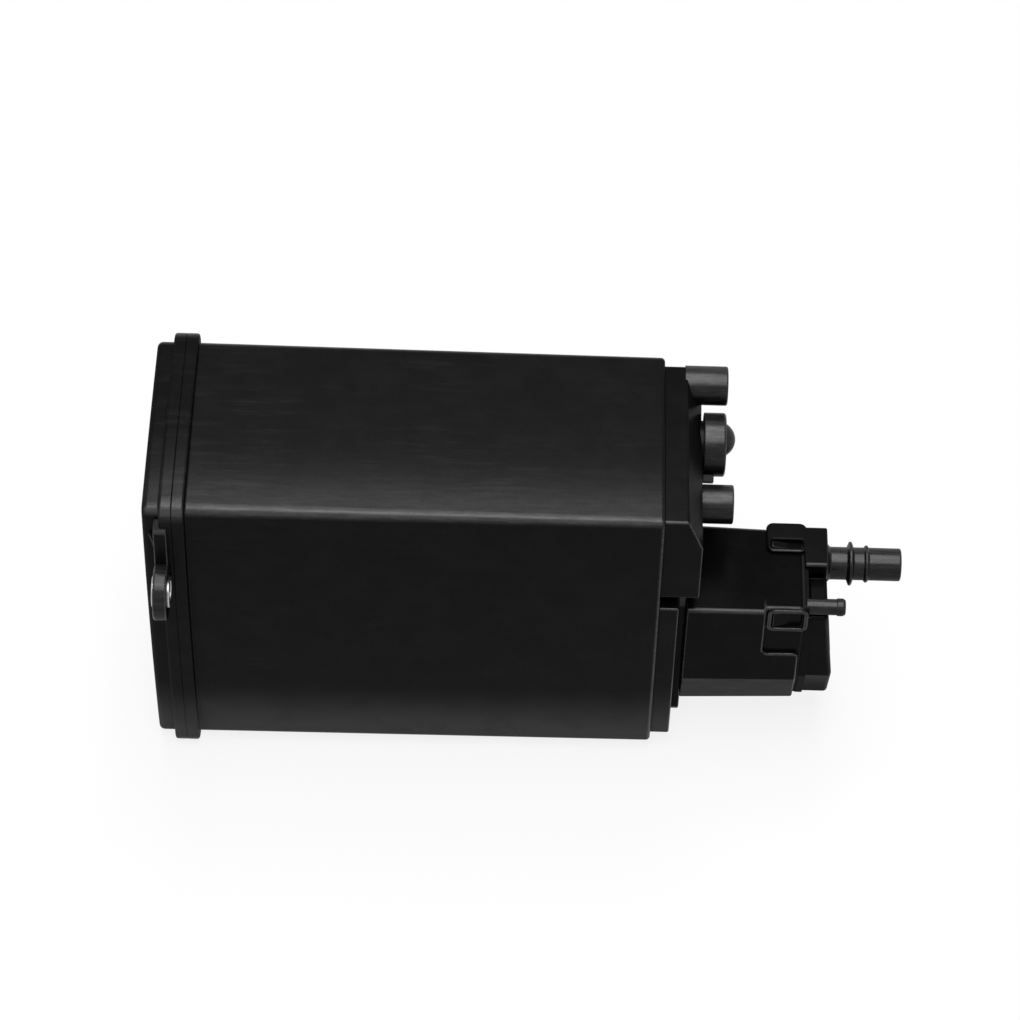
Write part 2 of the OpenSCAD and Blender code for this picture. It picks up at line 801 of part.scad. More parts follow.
// cover with the tank port and the purge nipple
module port_cover() {
    block_y0 = house_y0 + corner_y;
    block_z0 = house_z1 - corner_z - 4;
    color([0.05, 0.05, 0.05])
        difference() {
            union() {
                difference() {
                    across(rim_x0) linear_extrude(rim_t) house_skin(rim_e, 2.5);
                    translate([rim_x0 + corner_t, block_y0 - big, house_z1 - corner_z]) cube(big);
                }
                across(rim_x0)
                    linear_extrude(rim_t + dome_len)
                        polygon(rounded([
                            [block_y0, block_z1],
                            [block_y0, block_z0],
                            [house_y1 + rim_e, block_z0],
                            [house_y1 + rim_e, block_z1]], 1.5, 5));
                dome_form(rim_x0 + 1, 0);
                across(rim_x0 - seal_t - plug_len)
                    linear_extrude(seal_t + plug_len + 1)
                        difference() {
                            house_skin(mouth_e - house_wall - fit, 1);
                            house_skin(mouth_e - house_wall - fit - 1.6, 0.6);
                        }
                translate([rim_x0, house_y0 - loop_e, loop_top - loop_w / 2])
                    rotate([90, 0, 0])
                        loop(loop_w, loop_bar - loop_w / 2, loop_w / 2 - loop_bar);
                translate([rim_x0, top_loop_y, house_z1 + loop_e])
                    loop(top_loop_w, loop_bar - top_loop_w / 2, loop_bar + slit_w - top_loop_w / 2);
                lathe(port_y, port_z, [
                    [0, dome_x1 - 1],
                    [port_d / 2 + 1.5, dome_x1 - 1],
                    [port_d / 2 + 1.5, dome_x1],
                    [port_d / 2, dome_x1 + 1.5],
                    [port_d / 2, dome_x1 + bead_x - 1.3],
                    [bead_d / 2, dome_x1 + bead_x - 0.4],
                    [bead_d / 2, dome_x1 + bead_x + 0.4],
                    [port_d / 2, dome_x1 + bead_x + 1.3],
                    [port_d / 2, dome_x1 + bead2_x - 1],
                    [bead2_d / 2, dome_x1 + bead2_x - 0.3],
                    [bead2_d / 2, dome_x1 + bead2_x + 0.3],
                    [port_d / 2, dome_x1 + bead2_x + 1],
                    [port_d / 2, dome_x1 + port_len - 0.8],
                    [port_d / 2 - 0.8, dome_x1 + port_len],
                    [0, dome_x1 + port_len]]);
                lathe(nipple_y, nipple_z, [
                    [0, rim_x0 + 0.6],
                    [nipple_d / 2, rim_x0 + 0.6],
                    [nipple_d / 2, rim_x1 + nipple_len - barb_len],
                    [barb_d / 2, rim_x1 + nipple_len - barb_len],
                    [barb_d / 2, rim_x1 + nipple_len - 1],
                    [barb_d / 2 - 0.6, rim_x1 + nipple_len],
                    [0, rim_x1 + nipple_len]]);
            }
            intersection() {
                dome_form(rim_x0 - 1, house_wall);
                across(rim_x0 - 1) linear_extrude(big) house_skin(mouth_e - house_wall - fit - 1.6, 0.6);
            }
            rod(dome_x1 - 2 * house_wall, dome_x1 + port_len + 1, port_y, port_z, port_bore_d / 2);
            rod(rim_x0 - seal_t - plug_len - 1, rim_x1 + nipple_len + 1, nipple_y, nipple_z, nipple_bore_d / 2);
        }
}

// foam block that holds back liquid in the housing
module trap_foam() {
    color([0.28, 0.28, 0.25])
        house_block(house_x0 + 6, house_x1 - plug_len - fit, -house_wall - fit, 1);
}

// moves the model so that the origin is the middle of the box's underside
module at_base() {
    translate([-(box_x0 + box_x1) / 2, -(box_y0 + box_y1) / 2, -box_z0]) children();
}

at_base() canister_body();
at_base() end_lid();
at_base() main_carbon();
at_base() vent_carbon();
at_base() main_port_foam();
at_base() vent_port_foam();
at_base() main_lid_felt();
at_base() vent_lid_felt();
at_base() main_plate();
at_base() vent_plate();
at_base() main_spring_near();
at_base() main_spring_far();
at_base() vent_spring();
at_base() ear_bush();
at_base() boss_inserts();
at_base() vent_cap();
at_base() vent_filter();
at_base() port_housing();
at_base() port_cover();
at_base() cover_seal();
at_base() trap_foam();
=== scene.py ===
# %% [markdown]
# # A charcoal canister, dressed
# This box stores fuel vapour in carbon granules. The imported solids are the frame: they give every place and size.
# The lesson rebuilds the outer mouldings as smooth surfaces with rounded edges, because a moulded black part is read
# almost only by the light on its edges, and then gives each piece a finish.

# %% Load the frame
import math
import bmesh
import bpy
import numpy as np
from mathutils import Matrix, Vector


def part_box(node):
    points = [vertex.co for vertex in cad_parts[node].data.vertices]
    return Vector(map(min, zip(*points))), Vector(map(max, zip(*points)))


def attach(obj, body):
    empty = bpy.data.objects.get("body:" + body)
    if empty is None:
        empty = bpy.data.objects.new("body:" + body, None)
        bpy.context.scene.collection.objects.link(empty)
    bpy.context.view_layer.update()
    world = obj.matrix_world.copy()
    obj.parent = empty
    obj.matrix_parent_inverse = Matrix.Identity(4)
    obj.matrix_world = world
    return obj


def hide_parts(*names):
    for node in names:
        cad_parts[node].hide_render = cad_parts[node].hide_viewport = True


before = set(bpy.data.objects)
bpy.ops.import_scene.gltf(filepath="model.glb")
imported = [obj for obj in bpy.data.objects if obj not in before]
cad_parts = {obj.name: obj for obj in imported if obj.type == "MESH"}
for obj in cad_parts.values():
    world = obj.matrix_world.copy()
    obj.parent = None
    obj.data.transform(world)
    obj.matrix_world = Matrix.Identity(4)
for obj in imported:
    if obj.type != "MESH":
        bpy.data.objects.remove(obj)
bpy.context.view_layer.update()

# %% [markdown]
# ## Where things are
# All sizes below are millimetres, counted from the weld plane (X) and from the middle of the shell (Y and Z), as on a
# drawing. The shell's own box in the frame tells where that point lies, so nothing has to be fitted by eye.

# %% The drawing's zero point
low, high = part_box("canister_body")
ZERO = np.array([low.x, (low.y + high.y) / 2, (low.z + high.z) / 2])


def to_frame(p):
    """Millimetres on the drawing to metres in the frame: ZERO + p / 1000."""
    return ZERO + np.asarray(p, float) / 1000


print("zero point of the drawing:", np.round(ZERO, 5))

# %% [markdown]
# ## From grids to meshes
# Each moulding is a stack of closed rings: a grid of points P[i, j], where i runs along a profile and j runs round. A
# mesh could also be cut from boxes, but a grid keeps its rings in order, so edges can be rounded and shaded smoothly.
# Every point also carries a wear value for the finishes to read: up to 1 on rubbed edges, where it also paints a
# highlight in lighter colour, 0 on plain faces and below 0 on faces that the tool left duller.

# %% Grid to mesh
def ring_faces(rows, cols, start):
    """Quads (i, j), (i+1, j), (i+1, j+1), (i, j+1) of a grid whose columns close on themselves."""
    i, j = np.meshgrid(np.arange(rows - 1), np.arange(cols), indexing="ij")
    k = (j + 1) % cols
    quads = np.stack([i * cols + j, (i + 1) * cols + j, (i + 1) * cols + k, i * cols + k], -1)
    return (quads.reshape(-1, 4) + start).tolist()


print("faces of two rings with three points each:", ring_faces(2, 3, 0))

# %% Skins to a piece
MERGE, SHARP = 2e-6, 40    # points this close (metres) are one; edges that turn by more degrees stay sharp


def make_piece(name, skins):
    """One object from several skins. A skin is (grid, wear, first cap, last cap), and a cap is one face on an end
    ring."""
    points, wear_and_highlight, faces, start = [], [], [], 0
    for grid, mark, first, last in skins:
        rows, cols = grid.shape[:2]
        faces += ring_faces(rows, cols, start)
        faces += [list(range(start, start + cols))] if first else []
        faces += [list(range(start + (rows - 1) * cols, start + rows * cols))] if last else []
        points.append(grid.reshape(-1, 3))
        mark = mark if np.ndim(mark) == 2 else np.reshape(mark, (-1, 1))
        wear_and_highlight.append(np.broadcast_to(mark, (rows, cols)).ravel())
        start += rows * cols
    mesh = bpy.data.meshes.new(name)
    mesh.from_pydata(to_frame(np.concatenate(points)).tolist(), [], faces)
    values = np.concatenate(wear_and_highlight).astype(np.float32)
    # These values are wear and, on rounded edges, a painted highlight.
    mesh.attributes.new("wear_and_highlight", "FLOAT", "POINT").data.foreach_set("value", values)
    body = bmesh.new()
    body.from_mesh(mesh)
    bmesh.ops.remove_doubles(body, verts=body.verts, dist=MERGE)
    bmesh.ops.recalc_face_normals(body, faces=body.faces)
    body.to_mesh(mesh)
    body.free()
    mesh.shade_smooth()
    mesh.set_sharp_from_angle(angle=math.radians(SHARP))
    piece = bpy.data.objects.new(name, mesh)
    bpy.context.scene.collection.objects.link(piece)
    flat = piece.modifiers.new("even faces", "WEIGHTED_NORMAL")
    flat.keep_sharp = True
    print(f"{name}: {len(mesh.vertices)} points, {len(mesh.polygons)} faces")
    return piece


# %% [markdown]
# ## Three ways to make a skin
# A moulding tool is cut in three ways: a profile that follows an outline, a flat plate with rounded edges, and a
# turned part. Each of these is one short function. Rounded corners come from one helper that replaces a corner of a
# path with an arc.

# %% Rounded paths
def soften(path, radii, n=4):
    """Each corner p with radius r becomes an arc that touches both legs: centre p + (u + v)/|u + v| * r / sin(h),
    where u and v point along the legs and h is half the angle between them. A radius below 0 rounds without wear and
    without a painted highlight."""
    path = np.asarray(path, float)
    out, mark = [path[:1]], [np.zeros(1)]
    for p, a, b, r in zip(path[1:-1], path[:-2], path[2:], radii):
        u, v = (a - p) / np.linalg.norm(a - p), (b - p) / np.linalg.norm(b - p)
        h = math.acos(np.clip(u @ v, -1, 1)) / 2
        size = abs(r)
        if size < 1e-6:
            out.append(p[None])
            mark.append(np.zeros(1))
            continue
        c = p + (u + v) / np.linalg.norm(u + v) * size / math.sin(h)
        t = np.linspace(0, 1, n + 1)[:, None]
        d = (p + u * size / math.tan(h) - c) * (1 - t) + (p + v * size / math.tan(h) - c) * t
        out.append(c + d / np.linalg.norm(d, axis=1, keepdims=True) * size)
        mark.append(np.sin(t[:, 0] * math.pi) * (r > 0))
    return np.concatenate(out + [path[-1:]]), np.concatenate(mark + [np.zeros(1)])


print("a square corner, rounded by 1:", np.round(soften([(0, 0), (2, 0), (2, 2)], [1], 2)[0], 2).tolist())

# %% Closed outlines
def closed_soft(corners, r, n=5):
    """A closed outline with every corner rounded: the open path is run past its start and trimmed again. Each point
    is (u, v, wear), and the wear also stands for a painted highlight on the corner."""
    c = np.asarray(corners, float)
    r = np.broadcast_to(r, len(c))
    start = (c[-1] + c[0]) / 2
    path, mark = soften(np.concatenate([start[None], c, start[None]]), r, n)
    return np.column_stack([path, mark])[:-1]


def rectangle(u0, u1, v0, v1, r, n=5):
    """A rectangle with round corners, always starting at the same corner."""
    return closed_soft([(u0, v0), (u1, v0), (u1, v1), (u0, v1)], r, n)


def normals(ring):
    """Outward mitred normals of a closed outline: the mean of both legs' normals, and the mitre's length."""
    flat = ring[:, :2]
    side = np.roll(flat, -1, 0) - flat
    side /= np.maximum(np.linalg.norm(side, axis=1, keepdims=True), 1e-9)
    left = np.stack([side[:, 1], -side[:, 0]], -1)
    mean = left + np.roll(left, 1, 0)
    mean /= np.maximum(np.linalg.norm(mean, axis=1, keepdims=True), 1e-9)
    turn = np.sum(flat[:, 0] * np.roll(flat[:, 1], -1) - np.roll(flat[:, 0], -1) * flat[:, 1])
    return mean * np.sign(turn), 1 / np.clip(np.sum(mean * left, 1, keepdims=True), 0.6, 1)


def move_in(ring, e):
    """Moves a closed outline inward by e along its mitred point normals, so that faces stay parallel."""
    n, mitre = normals(ring)
    return np.column_stack([ring[:, :2] - n * mitre * e, ring[:, 2]])


FAR_WEAR = 0.08


def near_side_highlight(ring):
    """1 on the near side of an outline, which faces the camera and gets wear with a painted highlight, and FAR_WEAR
    on the others.
    """
    return FAR_WEAR + (1 - FAR_WEAR) * np.clip(-normals(ring)[0][:, 0], 0, 1) ** 2


square = rectangle(0, 4, 0, 4, 1)
print("a square of 4, moved in by 0.5, is", round(np.ptp(move_in(square, 0.5)[:, 0]), 3), "wide")

# %% Carried, plate and turned skins
def carry(outline, path, mark, first=False, last=False):
    """A profile of (x, e) points carried round an outline: ring i is outline(e_i) at x_i. Wear, which also paints a
    highlight, is the larger of the profile's mark, on the near side, and the outline's, where the profile runs along
    X."""
    rings = [(x, outline(e)) for x, e in path]
    grid = np.stack([np.column_stack([np.full(len(o), x), o[:, :2]]) for x, o in rings])
    run = np.diff(path[[0, *range(len(path)), -1]], axis=0)
    run = run[1:] + run[:-1]
    along = run[:, 0] ** 2 / np.sum(run ** 2, 1)
    wear_and_highlight = along[:, None] * np.stack([o[:, 2] for _, o in rings])
    return grid, np.maximum(mark[:, None] * near_side_highlight(outline(0)), wear_and_highlight), first, last


def plate(ring, w0, w1, r, axes=(1, 2, 0), n=3, worn_and_lit=1.0):
    """A flat plate between w0 and w1 with rounded edges: the ring at the height w0 + r(1 - cos a) is moved in by
    r(1 - sin a), and the edge at w1 is its mirror image."""
    a = np.linspace(0, math.pi / 2, n + 1)
    inset = np.concatenate([r * (1 - np.sin(a)), r * (1 - np.cos(a))])
    height = np.concatenate([w0 + r * (1 - np.cos(a)), w1 - r * (1 - np.sin(a))])
    # Rounded edges get wear and a painted highlight, scaled by the given amount.
    mark = worn_and_lit * np.concatenate([np.sin(2 * a), np.sin(2 * a)])
    side = worn_and_lit * np.concatenate([np.sin(a), np.cos(a)])
    grid = np.zeros((len(inset), len(ring), 3))
    for i, (e, w) in enumerate(zip(inset, height)):
        grid[i][:, list(axes[:2])] = move_in(ring, e)[:, :2]
        grid[i][:, axes[2]] = w
    return grid, np.maximum(mark[:, None], side[:, None] * ring[:, 2]), True, True


def turned(y, z, path, mark, n=64, first=False, last=False, handled_and_top_lit=0.0):
    """A profile of (radius, x) turned round an axis along X: (x, y + r cos f, z + r sin f). A part that hands and
    hoses polish has the given wear value at least on its upper side, and half of it below; the higher value on top
    also paints a highlight there, as light from above would."""
    f = np.linspace(0, 2 * math.pi, n, endpoint=False)
    r, x = path[:, :1], path[:, 1:]
    grid = np.stack([x + 0 * f, y + r * np.cos(f), z + r * np.sin(f)], -1)
    return grid, np.maximum(mark[:, None], handled_and_top_lit * (0.75 + 0.25 * np.sin(f))), first, last


print("a plate on that square: rings, points, axes", plate(square, 0, 1, 0.2)[0].shape)

# %% [markdown]
# ## The shell
# The shell is a long box with slightly bulging walls. Its outline is made of eight arcs that run into each other, and
# moving it in or out by e keeps it parallel. So one profile of (x, e), from the inner face over the weld flange to
# the port end, carried round that outline, gives the whole skin. A subdivided cube would not hold the draft and the
# crown.

# %% Outline of the shell
WIDE, HIGH, CORNER, LEAST_CORNER = 85, 140, 4.5, 1.2
CROWN_SIDE, CROWN_TOP = 5, 3                     # half of each crowned face's arc, in degrees
N_CORNER, N_TOP, N_SIDE = 10, 14, 20             # points on each arc
POLISH, POLISH_FROM, NEAR_EDGE = 0.055, 8, 0.45  # wear on the near part of the top and beside its corner


def arc(y, z, r, a0, a1, n):
    """n points (y + r cos a, z + r sin a) for a from a0 up to a1 degrees, without the last."""
    a = np.radians(np.linspace(a0, a1, n, endpoint=False))
    return np.stack([y + r * np.cos(a), z + r * np.sin(a)], -1)


def shell_outline(e):
    """Four crowned faces and four corners, all tangent arcs, moved outward by e. Corners are worn and carry a painted
    highlight, and the top is a little polished towards the near corner."""
    r = max(CORNER + e, LEAST_CORNER)
    yc, zc = WIDE / 2 + e - r, HIGH / 2 + e - r
    s, t = math.radians(CROWN_SIDE), math.radians(CROWN_TOP)
    ys, zs = yc - zc / math.tan(s), zc - yc / math.tan(t)
    rs, rt = zc / math.sin(s) + r, yc / math.sin(t) + r
    s, t = CROWN_SIDE, CROWN_TOP
    ring = np.concatenate([
        arc(yc, zc, r, s, 90 - t, N_CORNER), arc(0, zs, rt, 90 - t, 90 + t, N_TOP),
        arc(-yc, zc, r, 90 + t, 180 - s, N_CORNER), arc(-ys, 0, rs, 180 - s, 180 + s, N_SIDE),
        arc(-yc, -zc, r, 180 + s, 270 - t, N_CORNER), arc(0, -zs, rt, 270 - t, 270 + t, N_TOP),
        arc(yc, -zc, r, 270 + t, 360 - s, N_CORNER), arc(ys, 0, rs, -s, s, N_SIDE)])
    corner = np.sin(np.linspace(0, math.pi, N_CORNER, endpoint=False))
    top = POLISH * np.maximum(np.arange(N_TOP) - POLISH_FROM, 0) ** 1.3
    near = np.maximum(corner, NEAR_EDGE * (np.arange(N_CORNER) < 3))
    side, bottom = np.zeros(N_SIDE), np.zeros(N_TOP)
    return np.column_stack([ring, np.concatenate([corner, top, near, side, corner, bottom, corner, side])])


print("shell outline:", len(shell_outline(0)), "points,", np.ptp(shell_outline(0)[:, :2], axis=0).round(1), "mm")

# %% Shell skin
LONG, SLOPE, WALL = 182, math.tan(math.radians(0.29)), 2.6
FLANGE_T, FLANGE_OUT = 4.7, 3.6
WELD_R, FLANGE_R, FOOT_R, END_R = 0.35, 1, 0.7, 1.6
END_E, END_IN = -SLOPE * LONG, 4
# The first scales wear and a painted highlight on the near side of the shell's rounded end; the second marks duller
# faces.
SHELL_RUB_AND_HIGHLIGHT, DULL = 0.8, -0.2
shell_path, shell_mark = soften(
    [(LONG - WALL, END_E - WALL), (0, -WALL), (0, FLANGE_OUT), (FLANGE_T, FLANGE_OUT),
     (FLANGE_T, -SLOPE * FLANGE_T), (LONG, END_E), (LONG, END_E - END_IN)],
    [0, -WELD_R, -FLANGE_R, -FOOT_R, END_R], 6)
shell_skins = [carry(shell_outline, shell_path, SHELL_RUB_AND_HIGHLIGHT * shell_mark, True, True)]


def dull_top(skin, rows):
    """The flange and the lid come from a coarser tool: the upward points of these rows have the wear value DULL
    where nothing rubs."""
    part = np.ix_(rows, normals(shell_outline(0))[0][:, 1] > 0.9)
    skin[1][part] = np.where(skin[1][part] < 0.05, DULL, skin[1][part])


dull_top(shell_skins[0], shell_path[:, 1] > 1)
print("shell profile:", len(shell_path), "rings")

# %% [markdown]
# ## The two necks
# The port end steps down to two blocks with a slot between them. Each is the shell's outline, set in and cut at the
# slot. The upper block has a slanted edge at its top, so its end is a height x(z) laid over rings that shrink to the
# middle. That needs no cutting and keeps the rounding along every edge. Inside, a wall splits the shell into two
# beds. It reaches into the side walls and leaves a way round at the lid.

# %% Outline of a neck
NECK_E, UP_END, LOW_END = END_E - 3, LONG + 14.7, LONG + 7.4
PARTITION_Z, SLOT = 20.7, 6.7
CUT_R, NECK_DULL = 0.9, -0.22


def cut_outline(z0, z1):
    """The part of the set-in outline between the heights z0 and z1, closed by a straight cut with round corners. Its
    upward faces have the wear value NECK_DULL: the tool's grain is coarser there, so they are duller."""
    ring = shell_outline(NECK_E)
    keep = (ring[:, 1] > z0) & (ring[:, 1] < z1)
    first = int(np.argmax(keep & ~np.roll(keep, 1)))
    run = np.roll(ring, -first, 0)[: int(keep.sum())]
    z = z0 if abs(run[0][1] - z0) < abs(run[0][1] - z1) else z1
    path, mark = soften([run[-1, :2], (run[-1, 0], z), (run[0, 0], z), run[0, :2]], [CUT_R, CUT_R], 4)
    ring = np.concatenate([run, np.column_stack([path, mark])[1:-1]])
    dull = normals(ring)[0][:, 1] > 0.99
    ring[dull, 2] = NECK_DULL
    return ring


# %% Blocks with a height
def domed(ring, x0, reach, r, steps=8, n=4, worn_and_lit=1.0):
    """A block on the end face: its side rises from x0 to the height reach(y, z), its edge is rounded by r, and its
    end is made of rings c + k (p - c), with k from 1 to 0, at that height."""
    rows = [np.column_stack([np.full(len(ring), x0), ring[:, :2]])]
    wear_and_highlight, near = [ring[:, 2]], near_side_highlight(ring)
    for t in np.linspace(0, math.pi / 2, n + 1):
        p = move_in(ring, r * (1 - math.cos(t)))
        rows.append(np.column_stack([reach(p[:, 0], p[:, 1]) - r * (1 - math.sin(t)), p[:, :2]]))
        # Edges on the near side get wear and a painted highlight.
        mark = worn_and_lit * math.sin(2 * t) * near
        side = ring[:, 2] * math.cos(t)
        wear_and_highlight.append(np.where(ring[:, 2] < 0, side, np.maximum(mark, side)))
    inner = move_in(ring, r)[:, :2]
    c = inner.mean(0)
    for k in np.linspace(1, 0, steps + 1)[1:]:
        p = c + k * (inner - c)
        rows.append(np.column_stack([reach(p[:, 0], p[:, 1]), p]))
        wear_and_highlight.append(np.zeros(len(ring)))
    return np.stack(rows), np.stack(wear_and_highlight), True, False


SLANT, SLANT_H, NECK_R = 5.8, 14, 0.8
NECK_X0, TOP_Z, BEYOND = LONG - 1, HIGH / 2 + NECK_E, 200


def upper_end(y, z):
    """Height of the upper block: flat, and slanting down by SLANT over its top SLANT_H."""
    return UP_END - SLANT * np.clip((z - (TOP_Z - SLANT_H)) / SLANT_H, 0, 1)


def lower_end(y, z):
    """Height of the lower block: flat."""
    return LOW_END + 0 * y


shell_skins.append(domed(cut_outline(PARTITION_Z + SLOT / 2, BEYOND), NECK_X0, upper_end, NECK_R, 14))
shell_skins.append(domed(cut_outline(-BEYOND, PARTITION_Z - SLOT / 2), NECK_X0, lower_end, NECK_R))
print("necks: slot from", round(PARTITION_Z - SLOT / 2, 2), "to", round(PARTITION_Z + SLOT / 2, 2))

# %% Inner wall
PARTITION_X, PARTITION_T, PARTITION_W, PARTITION_R = 10, 2.2, 85.6, 0.3
half_w, half_t = PARTITION_W / 2, PARTITION_T / 2
wall = rectangle(-half_w, half_w, PARTITION_Z - half_t, PARTITION_Z + half_t, PARTITION_R, 2)
shell_skins.append(plate(wall, PARTITION_X, LONG - WALL + PARTITION_R, PARTITION_R, worn_and_lit=0))
print("inner wall from", PARTITION_X, "to", LONG - WALL)

# %% [markdown]
# ## Bosses and breather stub
# Three turned shapes stand on the upper block: two bosses with a blind hole for a brass insert, and the stub that the
# breather cap hangs on. They are profiles of (radius, x), with a small rounding on each rim. Hands and hoses polish
# what stands out, so such turned shapes have a wear value all over, higher on their upper side, where it paints a
# highlight.

# %% Turned shapes on the upper block
FAR_BOSS, NEAR_BOSS, BREATHER = (34.5, 59.5), (-2.5, 33.5), (17.4, 45.0)
BOSS_END = {"far": UP_END + 9.5, "near": UP_END + 12.7}
BOSS_R, POCKET_R, INSERT_LEN = 7.5, 4.05, 8
STUB_R, STUB_BORE, STUB_LEN, STUB_FLOOR = 9, 7, 7, 0.5
# wear on turned parts, highest on their upper side, where it also paints a highlight
HANDLED_AND_TOP_LIT = 0.75
for place, end, start in ((FAR_BOSS, BOSS_END["far"], UP_END - SLANT - 1),
                          (NEAR_BOSS, BOSS_END["near"], UP_END - 1)):
    path, mark = soften([(BOSS_R, start), (BOSS_R, end), (POCKET_R, end), (POCKET_R, end - INSERT_LEN),
                         (0, end - INSERT_LEN)], [0.7, 0.4, 0], 4)
    shell_skins.append(turned(*place, path, mark, first=True, handled_and_top_lit=HANDLED_AND_TOP_LIT))
path, mark = soften([(STUB_R, UP_END - 1), (STUB_R, UP_END + STUB_LEN), (STUB_BORE, UP_END + STUB_LEN),
                     (STUB_BORE, UP_END + STUB_FLOOR), (0, UP_END + STUB_FLOOR)], [0.5, 0.4, 0], 3)
shell_skins.append(turned(*BREATHER, path, mark, first=True))
shell = make_piece("canister_shell", shell_skins)

# %% [markdown]
# ## The lid and its ear
# The lid is the same outline again with a deep rounding, welded flange to flange. The two rounded flange edges leave
# the fine groove of the weld. The ear is a turned eye with a web that ends inside it, so that the hole for the bush
# stays open, and two thin gussets.

# %% Lid skin
LID, LID_R, LID_IN = 11.3, 2.2, 6
lid_path, lid_mark = soften(
    [(WALL - LID, -WALL), (0, -WALL), (0, FLANGE_OUT), (-FLANGE_T, FLANGE_OUT), (-FLANGE_T, 0), (-LID, 0),
     (-LID, -LID_IN)],
    [0, -WELD_R, -FLANGE_R, -FOOT_R, -LID_R], 6)
lid_skins = [carry(shell_outline, lid_path, lid_mark, True, True)]
dull_top(lid_skins[0], lid_path[:, 0] < 1)
print("lid profile:", len(lid_path), "rings")

# %% Ear, web and gussets
EAR_Y, EAR_Z, EAR_R, EAR_X = -54.5, 37.0, 10.9, (-6.9, -1.7)
EYE_R, WEB_R, WEB_ARC = 6.05, 8.6, 78
path, mark = soften([(EYE_R, EAR_X[0] + 1), (EYE_R, EAR_X[0]), (EAR_R, EAR_X[0]), (EAR_R, EAR_X[1]),
                     (EYE_R, EAR_X[1]), (EYE_R, EAR_X[0] + 1)], [0.3, 0.9, 0.9, 0.3], 5)
lid_skins.append(turned(EAR_Y, EAR_Z, path, mark, handled_and_top_lit=HANDLED_AND_TOP_LIT))
SIDE, CORNER_Z = -WIDE / 2, HIGH / 2 - CORNER
web = closed_soft(np.concatenate([
    [(SIDE + 1.5, CORNER_Z), (SIDE - 5.5, CORNER_Z - 2), (SIDE - 7, EAR_Z + EAR_R - 1.5)],
    arc(EAR_Y, EAR_Z, WEB_R, WEB_ARC, -WEB_ARC, 12),
    [(SIDE + 1.5, EAR_Z - EAR_R - 6)]]), [1, 2, 1] + [0.3] * 12 + [1], 3)
lid_skins.append(plate(web, EAR_X[0] + 0.1, EAR_X[1] - 0.1, 0.6))
GUSSET_X, GUSSET_T, GUSSET_R = 2.2 - LID, 1.8, 0.45
for z, reach in ((EAR_Z + 20, 5.8), (EAR_Z - 7, 7.0)):
    gusset = closed_soft([(GUSSET_X, SIDE + 1), (EAR_X[0] + 1, SIDE + 1), (EAR_X[0] + 1, SIDE - reach),
                          (EAR_X[0], SIDE - reach), (GUSSET_X, SIDE - 1)], GUSSET_R, 2)
    lid_skins.append(plate(gusset, z - GUSSET_T / 2, z + GUSSET_T / 2, 0.4, (0, 1, 2)))
lid = make_piece("welded_lid", lid_skins)

# %% [markdown]
# ## The port housing
# A drafted box stands on the lower block. Its front is a thick apron with a notch, in which one loop of the cover
# lies flush, and the apron turns inward below, which catches the light from the floor. So a ring of the box has a few
# points that are pushed back by a depth, and the rings beyond the notch's edge use that depth while the others don't.

# %% Sizes of the housing
BOX_Y, BOX_Z, BOX_X = (-36.5, 4.7), (-51.0, 13.0), (LOW_END + 3.2, LOW_END + 47.5)
FACET_H, FACET_IN, BOX_WALL = 21.0, 6.6, 2.2
BOX_SLOPE = math.tan(math.radians(1.2))
MOUTH_E = -BOX_SLOPE * (BOX_X[1] - BOX_X[0])
LOOP, LOOP_T, LOOP_BAR, LOOP_R, LOOP_UP = 14.5, 1.6, 1.8, 2.8, 0.4
LOOP_W, TOP_LOOP_W, SLIT = 12.8, 14.0, 4.0
APRON, APRON_R = LOOP_T + 0.2, 1.8
RIM_X = (BOX_X[1] + 1, BOX_X[1] + 4)
NOTCH_X, NOTCH_Z, NOTCH_R, NOTCH_EDGE = RIM_X[0] - LOOP - 0.4, BOX_Z[1] - 27, 2.4, 1.1
print("housing:", np.ptp([BOX_X, BOX_Y, BOX_Z], axis=1).round(1), "mm, narrower at its mouth by", round(-MOUTH_E, 2))

# %% A ring of the housing
SLANT_WEAR, CORNER_DULL = 0.35, -0.5


def box_ring(e, ledge_z, apron=APRON):
    """One ring of the box, moved outward by e: columns y, z, wear with its painted highlight, depth in the notch, and
    1 on the apron's face.
    """
    (y0, y1), (z0, z1) = BOX_Y, BOX_Z
    y, top = y0 - apron - e, z1 + e
    a = np.linspace(0, math.pi / 2, 7)
    o, up, down, mark = 0 * a, 1 - np.sin(a), 1 - np.cos(a), np.sin(2 * a)
    over = np.column_stack([y + APRON_R * up, top - APRON_R * down, mark, apron + o, o])
    ledge = np.column_stack([y + o, ledge_z - NOTCH_EDGE * down, mark, NOTCH_EDGE * up, np.sin(a)])
    turn, mark = soften([(y, z0 + FACET_H), (y + FACET_IN, z0 - e), (y1 + e, z0 - e), (y1 + e, top),
                         (y + APRON_R + 6, top)], [1.2, 2.5, 2.5], 5)
    turn = np.column_stack([turn, mark, 0 * mark, 0 * mark])
    turn[:7, 2] = np.maximum(turn[:7, 2], SLANT_WEAR)
    turn[0, 4] = 1
    over[0, 2] = turn[-1, 2] = turn[-2, 2] = CORNER_DULL
    floor_line, bend = [[y, ledge_z, 0, apron, 0]], [[y, z0 + FACET_H + 0.08, 0, 0, 1]]
    return np.concatenate([over, floor_line, ledge, bend, turn])


